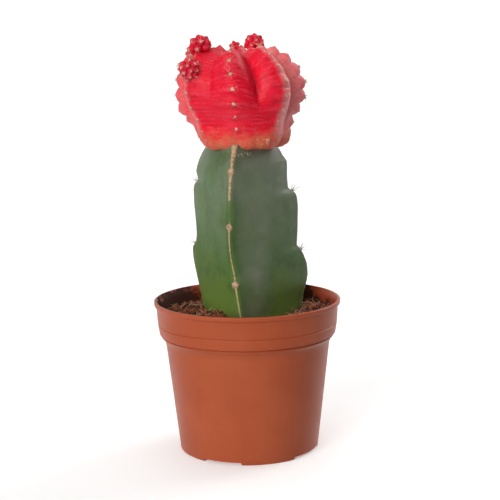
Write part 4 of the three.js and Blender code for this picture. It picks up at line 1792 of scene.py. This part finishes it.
@dataclass
class Offset:
    """A small head that has budded on a rib of the scion.

    Attributes:
        name: name of its solid.
        rib: the rib that it sits on.
        share: where on the rib's outline.
        across: how far off the crest.
        radius: its radius.
        tubercles: number of its tubercles.
        seed: seed of its variety.
        spines: least and greatest number of spines on a tubercle.
        length: shortest and longest spine.
        seated: distance of its centre from the skin, as a share of its radius.
        core: reach of its skin between the tubercles, as a share of its radius.
        bulge: how far a tubercle stands over that.
        neck: how much its underside narrows.
        coverage: how far its tubercles reach down: 1 is to its waist.
        overlap: width of a tubercle against its place.
        turn: turn from one tubercle to the next, in radians.
        spined: tubercles that face further down than this carry no spines.
    """

    name: str
    rib: int
    share: float
    across: float
    radius: float
    tubercles: int
    seed: int
    spines: tuple[int, int] = (4, 6)
    length: Span = (0.9, 2.0)
    seated: float = 0.55
    core: float = 0.8
    bulge: float = 0.5
    neck: float = 0.25
    coverage: float = 1.5
    overlap: float = 1.05
    turn: float = math.radians(137.5)
    spined: float = -0.35

    def stand(self, ribs: Ribs) -> tuple[Vector, Vector]:
        """Centre of the head and its outward direction."""
        seat, outward = ribs.place(self.rib, self.share, self.across)
        return seat + outward * self.radius * self.seated, outward

    def tops(self, outward: Vector) -> list[Vector]:
        """Directions of the tubercles, in a spiral from the head's top.

        Args:
            outward: direction of that top.

        Returns:
            The directions.
        """
        side = outward.orthogonal().normalized()
        beside = outward.cross(side)
        found = []
        for i in range(self.tubercles):
            rise = 1.0 - self.coverage * (i + 0.5) / self.tubercles
            flat = math.sqrt(1.0 - rise * rise)
            around = side * math.cos(i * self.turn) + beside * math.sin(i * self.turn)
            found.append((around * flat + outward * rise).normalized())
        return found

    def skin(self, ribs: Ribs, material: bpy.types.Material) -> None:
        """Builds the head's skin.

        Args:
            ribs: the scion that it sits on.
            material: its material.
        """
        centre, outward = self.stand(ribs)
        tops = self.tops(outward)
        reach = self.overlap * math.sqrt(2.0 * self.coverage / self.tubercles)
        bench = Bench(*RedSkin.marks)
        layers = bench.mesh.verts.layers.float
        turn = outward.to_track_quat("Z", "Y").to_matrix().to_4x4()
        made = bmesh.ops.create_icosphere(
            bench.mesh, subdivisions=6 if self.radius > 2.0 else 5, radius=1.0, matrix=turn)["verts"]
        for vert in made:
            way = vert.co.normalized()
            near = min(way.angle(top) for top in tops)
            dome = math.sqrt(max(0.0, 1.0 - (near / reach) ** 2))
            narrowed = 1.0 - self.neck * ease(-way.dot(outward), 0.2, 1.0)
            vert.co = centre + way * self.radius * (self.core * narrowed + self.bulge * dome)
            vert[layers["ridge"]] = 0.1 + 0.9 * dome
            vert[layers["dent"]] = 1.0
            vert[layers["fold"]] = 0.5 + 0.5 * dome
            # The pale mark: pinker tubercle tops, the same pale dust and painted sheen as on the scion's
            # flanks.
            vert[layers["pale"]] = 0.3 * ease(near / reach, 0.45, 0.1)
            vert[layers["along"]] = near * self.radius
        bench.finish(self.name + "_head", [material], Slot.RED, stands_for=[self.name])

    def areoles(self, ribs: Ribs, wool: bpy.types.Material, horn: bpy.types.Material) -> None:
        """Grows a tuft on each tubercle that doesn't face down.

        Args:
            ribs: the scion that it sits on.
            wool: material of the wool.
            horn: material of the spines.
        """
        draw = random.Random(self.seed)
        centre, outward = self.stand(ribs)
        bench = Bench()
        tuft = Cushion(pad=0.12 * self.radius, wool=6, wool_length=0.4, spines=self.spines,
                       length=self.length, thick=0.15, spread=(0.3, 0.95))
        for top in self.tops(outward):
            if top.dot(outward) > self.spined:
                tip = centre + top * self.radius * (self.core + self.bulge) * 0.99
                tuft.grow(bench, tip, top, draw)
        bench.finish(self.name + "_areoles", [wool, horn], Slot.RED)


OFFSETS = (
    Offset("offset_left_upper", 7, 0.79, -0.1, 2.9, 17, 40, (7, 9), (1.0, 3.2)),
    Offset("offset_left_lower", 7, 0.65, 0.2, 2.6, 22, 41, (4, 6), (0.8, 2.5)),
    Offset("offset_left_side", 6, 0.765, 0.4, 1.9, 14, 42, (6, 8), (1.0, 3.2)),
    Offset("offset_right", 3, 0.87, 0.0, 2.6, 20, 43),
    Offset("offset_centre", 4, 0.87, 0.3, 1.5, 12, 44),
)


@dataclass
class Scion:
    """Red ribbed cactus grafted on the stem, with an areole on every tubercle.

    Attributes:
        rib_steps: steps from a rib's crest to a valley.
        rows_per_tubercle: rows of points on a tubercle.
        under_rows: rows of points under the notches.
        wrinkle: height of the skin's wrinkles.
        foot_wrinkle: the same in the scarred foot.
        foot_span: shares of the outline between which the second gives way to the first.
        wrinkled: shares of the outline between which the wrinkles begin.
        flank_dust_and_sheen: pale dust and painted sheen on each rib's skin, from the valley before it to
            the valley after it.
        upper: form of the areoles above the waist.
        lower: form of those below it.
        waist: height that parts them.
        clear: areoles closer than this to an offset's centre are left out, in its radii.
        calluses: places of the dry calluses, as (rib, share of the outline, across).
        callus_sizes: half sizes of a callus along the skin.
        callus_rise: its height.
    """

    ribs: Ribs = Ribs()
    rib_steps: int = 14
    rows_per_tubercle: int = 16
    under_rows: int = 26
    wrinkle: float = 0.09
    foot_wrinkle: float = 0.26
    foot_span: Span = (0.27, 0.34)
    wrinkled: Span = (0.1, 0.2)
    # Pale dust with painted sheen, strongest on rib 1's right flank and on rib 2, which lie in shade.
    flank_dust_and_sheen: tuple[Pairs, ...] = (
        ((-1, 0), (1, 0)), ((-0.2, 0), (0.1, 0.95), (1, 1)), ((-1, 1), (0.2, 0.6), (1, 0.3)),
        ((-1, 0.25), (1, 0.1)), ((-1, 0.2), (1, 0.3)), ((-1, 0.3), (1, 0.2)), ((-1, 0.2), (1, 0.45)),
        ((-1, 0.45), (-0.2, 0.35), (0.15, 0), (1, 0)))
    upper: Cushion = Cushion(pad=0.58, rise=0.4)
    lower: Cushion = Cushion(pad=0.42, wool=9, spines=(2, 4), length=(1.0, 2.0), thick=0.13)
    waist: float = 110.0
    clear: float = 1.3
    calluses: tuple[tuple[int, float, float], ...] = (
        (1, 0.262, -0.42), (1, 0.268, -0.36), (1, 0.256, -0.38), (1, 0.274, -0.44), (1, 0.266, -0.31),
        (1, 0.278, -0.37), (1, 0.252, -0.32), (7, 0.27, 0.1), (4, 0.27, 0.3), (4, 0.262, 0.34))
    callus_sizes: tuple[Span, Span] = ((0.35, 0.7), (0.3, 0.5))
    callus_rise: float = 0.22

    def shares(self) -> list[float]:
        """Shares of the outline where rows of points lie.

        Returns:
            The shares, from the underside to the apex.
        """
        low, high = self.ribs.notched
        notched = self.ribs.count * self.rows_per_tubercle
        shares = [low * i / self.under_rows for i in range(self.under_rows)]
        shares += [mix(low, high, i / notched) for i in range(notched + 1)]
        crown = self.under_rows // 2
        return shares + [mix(high, 1.0, i / crown) for i in range(1, crown + 1)]

    def skin(self, material: bpy.types.Material) -> None:
        """Builds the skin.

        Args:
            material: its material.
        """
        ribs, steps, shares = self.ribs, self.rib_steps, self.shares()
        columns = 2 * steps * len(ribs.azimuths)
        last = len(shares) - 1

        def spot(column: int, row: int) -> Spot:
            """Point of the skin.

            Args:
                column: step round the scion.
                row: number of its share of the outline.

            Returns:
                The point with its marks.
            """
            rib, i = divmod(column % columns, 2 * steps)
            across, share = i / steps - 1.0, shares[row]
            if row in (0, last):
                rib, across = 0, 0.0
            base = ribs.point(rib, share, across)
            crease = noise.fractal(Vector((base.x * 0.35, base.y * 0.35, base.z * 1.1)), 0.8, 2.1, 4)
            lift = crease * mix(self.foot_wrinkle, self.wrinkle, ease(share, *self.foot_span))
            lift *= ease(share, *self.wrinkled) * (0.0 if row == last else 1.0)
            # The pale mark carries the pale dust and painted sheen.
            marks = {
                "ridge": math.cos(math.pi / 2.0 * abs(across)), "pale": Line(self.flank_dust_and_sheen[rib]).at(across),
                "fold": 1.0 - ribs.lobes[rib] * (1.0 - ribs.tubercle(rib, share)),
                "dent": ribs.depth(rib, across, base.z), "along": share * ribs.crest.length,
            }
            return ribs.point(rib, share, across, lift), marks

        bench = Bench(*RedSkin.marks)
        bench.sheet(columns, last, spot)
        bench.finish("scion_skin", [material], Slot.RED, stands_for=["scion"])

    def areoles(self, wool: bpy.types.Material, horn: bpy.types.Material) -> None:
        """Grows the areoles, leaving out those under an offset, and sets the calluses.

        Args:
            wool: material of the wool.
            horn: material of the spines.
        """
        draw = random.Random(23)
        bench = Bench()
        heads = [(offset.stand(self.ribs)[0], offset.radius) for offset in OFFSETS]
        for seat, outward in self.ribs.areoles():
            if all((seat - centre).length > self.clear * radius for centre, radius in heads):
                kind = self.upper if seat.z > self.waist else self.lower
                kind.grow(bench, seat, outward, draw)
        for rib, share, across in self.calluses:
            seat, outward = self.ribs.place(rib, share, across)
            sizes = [*(draw.uniform(*span) for span in self.callus_sizes), self.callus_rise]
            bench.lump(seat, outward, sizes, 2, 0.25, 2, draw)
        callus = Wool("callus", paint(226, 158, 132), paint(198, 112, 88)).material()
        bench.finish("scion_areoles", [wool, horn, callus], Slot.RED)


@dataclass(frozen=True)
class Lamp:
    """A distant soft light.

    Attributes:
        name: its name.
        azimuth: where it stands round the object.
        elevation: its height in degrees.
        width: its width in degrees, as seen from the object.
        strength: light that falls on a facing surface, in watts a square metre.
    """

    name: str
    azimuth: float
    elevation: float
    width: float
    strength: float

    def place(self) -> None:
        """Sets the light up."""
        light = bpy.data.lights.new(self.name, "SUN")
        light.energy, light.angle = self.strength, math.radians(self.width)
        lamp = bpy.data.objects.new(self.name, light)
        tilt = math.radians(self.elevation)
        back = compass(self.azimuth) * math.cos(tilt) + UP * math.sin(tilt)
        lamp.rotation_euler = back.to_track_quat("Z", "Y").to_euler()
        bpy.context.scene.collection.objects.link(lamp)


class Surroundings(Shader):
    """Builds the node tree of the world: light from a bright back, a darker front and the ground."""

    def __init__(self, name: str) -> None:
        """Starts a world with an empty tree.

        Args:
            name: the world's name.
        """
        self.world = bpy.data.worlds.new(name)
        self.world.use_nodes = True
        self.tree = self.world.node_tree
        self.tree.nodes.clear()

    def fill(self, front: float, below: float, backdrop: float) -> bpy.types.World:
        """Closes the tree.

        Args:
            front: brightness on the camera's side.
            below: brightness of the bounce from the ground.
            backdrop: brightness behind the object.

        Returns:
            The world.
        """
        way = self.node("ShaderNodeTexCoord", {}, {}, "Generated")
        behind = self.node("ShaderNodeSeparateXYZ", {}, {0: way}, "Y").ease(0.4, 0.85)
        under = self.node("ShaderNodeSeparateXYZ", {}, {0: way}, "Z").ease(0.1, -0.3)
        inputs = {"Strength": behind * (backdrop - front) + under * (below - front) + front}
        surface = self.node("ShaderNodeBackground", {}, {"Color": WHITE, **inputs})
        self.node("ShaderNodeOutputWorld", {}, {"Surface": surface})
        return self.world


@dataclass
class Studio:
    """Camera at the photograph's viewpoint, a pale floor and wall, and soft light.

    Angles are in radians. Sizes are in metres, apart from those of the camera.

    Attributes:
        eye: the camera's place, in millimetres.
        focal_pixels: its focal length, in pixels of the photograph.
        picture: width of the photograph, in pixels.
        sensor: width of its sensor, in millimetres.
        clip: nearest and farthest distance that it sees.
        floor_size: half the width of the floor.
        floor_glow: strength of its own light.
        wall_radius: distance and height of the wall.
        front: brightness of the surroundings on the camera's side.
        below: brightness of the bounce from the ground.
        backdrop: brightness behind the object.
    """

    eye: tuple[float, float, float] = (1.2021, -425.0, 135.77)
    pitch: float = 0.1661
    roll: float = -0.0164
    focal_pixels: float = 1344.8
    picture: float = 500.0
    sensor: float = 36.0
    clip: Span = (0.01, 40.0)
    floor_size: float = 6.0
    wall_radius: float = 5.0
    wall_sides: int = 64
    floor_colour: Colour = paint(243, 243, 242)
    floor_shade: Colour = paint(232, 232, 231)
    floor_glow: float = 0.32
    wall_shade: Colour = paint(250, 250, 250)
    front: float = 0.05
    below: float = 0.34
    backdrop: float = 1.0
    lamps: tuple[Lamp, ...] = (
        Lamp("key", -30.0, 12.0, 40.0, 2.8), Lamp("ceiling", 0.0, 86.0, 70.0, 1.2),
        Lamp("rim", 126.0, 26.0, 30.0, 1.15))

    def camera(self) -> None:
        """Sets the camera up."""
        ahead = Vector((0.0, math.cos(self.pitch), -math.sin(self.pitch)))
        above = Vector((0.0, math.sin(self.pitch), math.cos(self.pitch)))
        side = Vector((1.0, 0.0, 0.0)) * math.cos(self.roll) + above * math.sin(self.roll)
        crown = side.cross(ahead)
        lens = bpy.data.cameras.new("camera")
        lens.sensor_width = self.sensor
        lens.lens = self.focal_pixels / self.picture * self.sensor
        lens.clip_start, lens.clip_end = self.clip
        camera = bpy.data.objects.new("camera", lens)
        camera.rotation_euler = Matrix((side, crown, -ahead)).transposed().to_euler()
        camera.location = Vector(self.eye) * MM
        bpy.context.scene.collection.objects.link(camera)
        bpy.context.scene.camera = camera

    def place(
        self, name: str, work: bmesh.types.BMesh, material: bpy.types.Material,
    ) -> bpy.types.Object:
        """Sets up a surface of the studio, which isn't part of the cactus.

        Args:
            name: its name.
            work: its mesh, in metres.
            material: its material.

        Returns:
            The surface.
        """
        mesh = bpy.data.meshes.new(name)
        work.to_mesh(mesh)
        work.free()
        mesh.materials.append(material)
        surface = bpy.data.objects.new(name, mesh)
        surface.visible_diffuse = False
        bpy.context.scene.collection.objects.link(surface)
        return surface

    def wall(self) -> None:
        """Stands a pale wall all round, which the camera sees and which throws no light or shade."""
        work = bmesh.new()
        bmesh.ops.create_cone(work, segments=self.wall_sides, radius1=self.wall_radius,
                              radius2=self.wall_radius, depth=self.wall_radius)
        s = Shader("pale_wall")
        plain = s.blend(s.grain(90.0, 2.0) * 0.1, WHITE, self.wall_shade)
        glow = {"Emission_Color": WHITE, "Emission_Strength": 1.0}
        wall = self.place("wall", work, s.finish(plain, 1.0, s.grain(9.0, 2.0), 0.0, **glow))
        wall.visible_glossy = wall.visible_transmission = wall.visible_shadow = False

    def floor(self) -> None:
        """Lays the pale floor."""
        work = bmesh.new()
        bmesh.ops.create_grid(work, x_segments=4, y_segments=4, size=self.floor_size)
        s = Shader("pale_floor")
        colour = s.blend(s.grain(60.0, 2.0) * 0.1, self.floor_colour, self.floor_shade)
        glow = {"Emission_Color": WHITE, "Emission_Strength": self.floor_glow}
        self.place("floor", work, s.finish(colour, 0.8, s.grain(2.0, 2.0), 0.005, **glow))

    def build(self) -> None:
        """Sets up camera, floor, wall, lamps and surroundings."""
        self.camera()
        self.floor()
        self.wall()
        for lamp in self.lamps:
            lamp.place()
        scene = bpy.context.scene
        scene.world = Surroundings("studio").fill(self.front, self.below, self.backdrop)
        scene.view_settings.view_transform = "Standard"
        scene.view_settings.look = "None"


def main() -> None:
    """Builds the studio and every piece of the cactus."""
    logging.basicConfig(level=logging.INFO, format="%(name)s: %(message)s")
    Studio().build()
    pot, stem = Pot(), Rootstock()
    pot.build()
    soil = Soil(pot, stem)
    soil.ground()
    soil.litter()
    wool, horn = Wool().material(), SpineHorn().material()
    stem.skin()
    stem.areoles()
    scion = Scion()
    scion.skin(RedSkin().material())
    scion.areoles(wool, horn)
    bud = RedSkin(name="bud_skin", red=paint(232, 24, 62), light=paint(244, 92, 112),
                  deep=paint(176, 6, 36), scarred=0.0).material()
    for offset in OFFSETS:
        offset.skin(scion.ribs, bud)
        offset.areoles(scion.ribs, wool, horn)


if __name__ == "__main__":
    main()
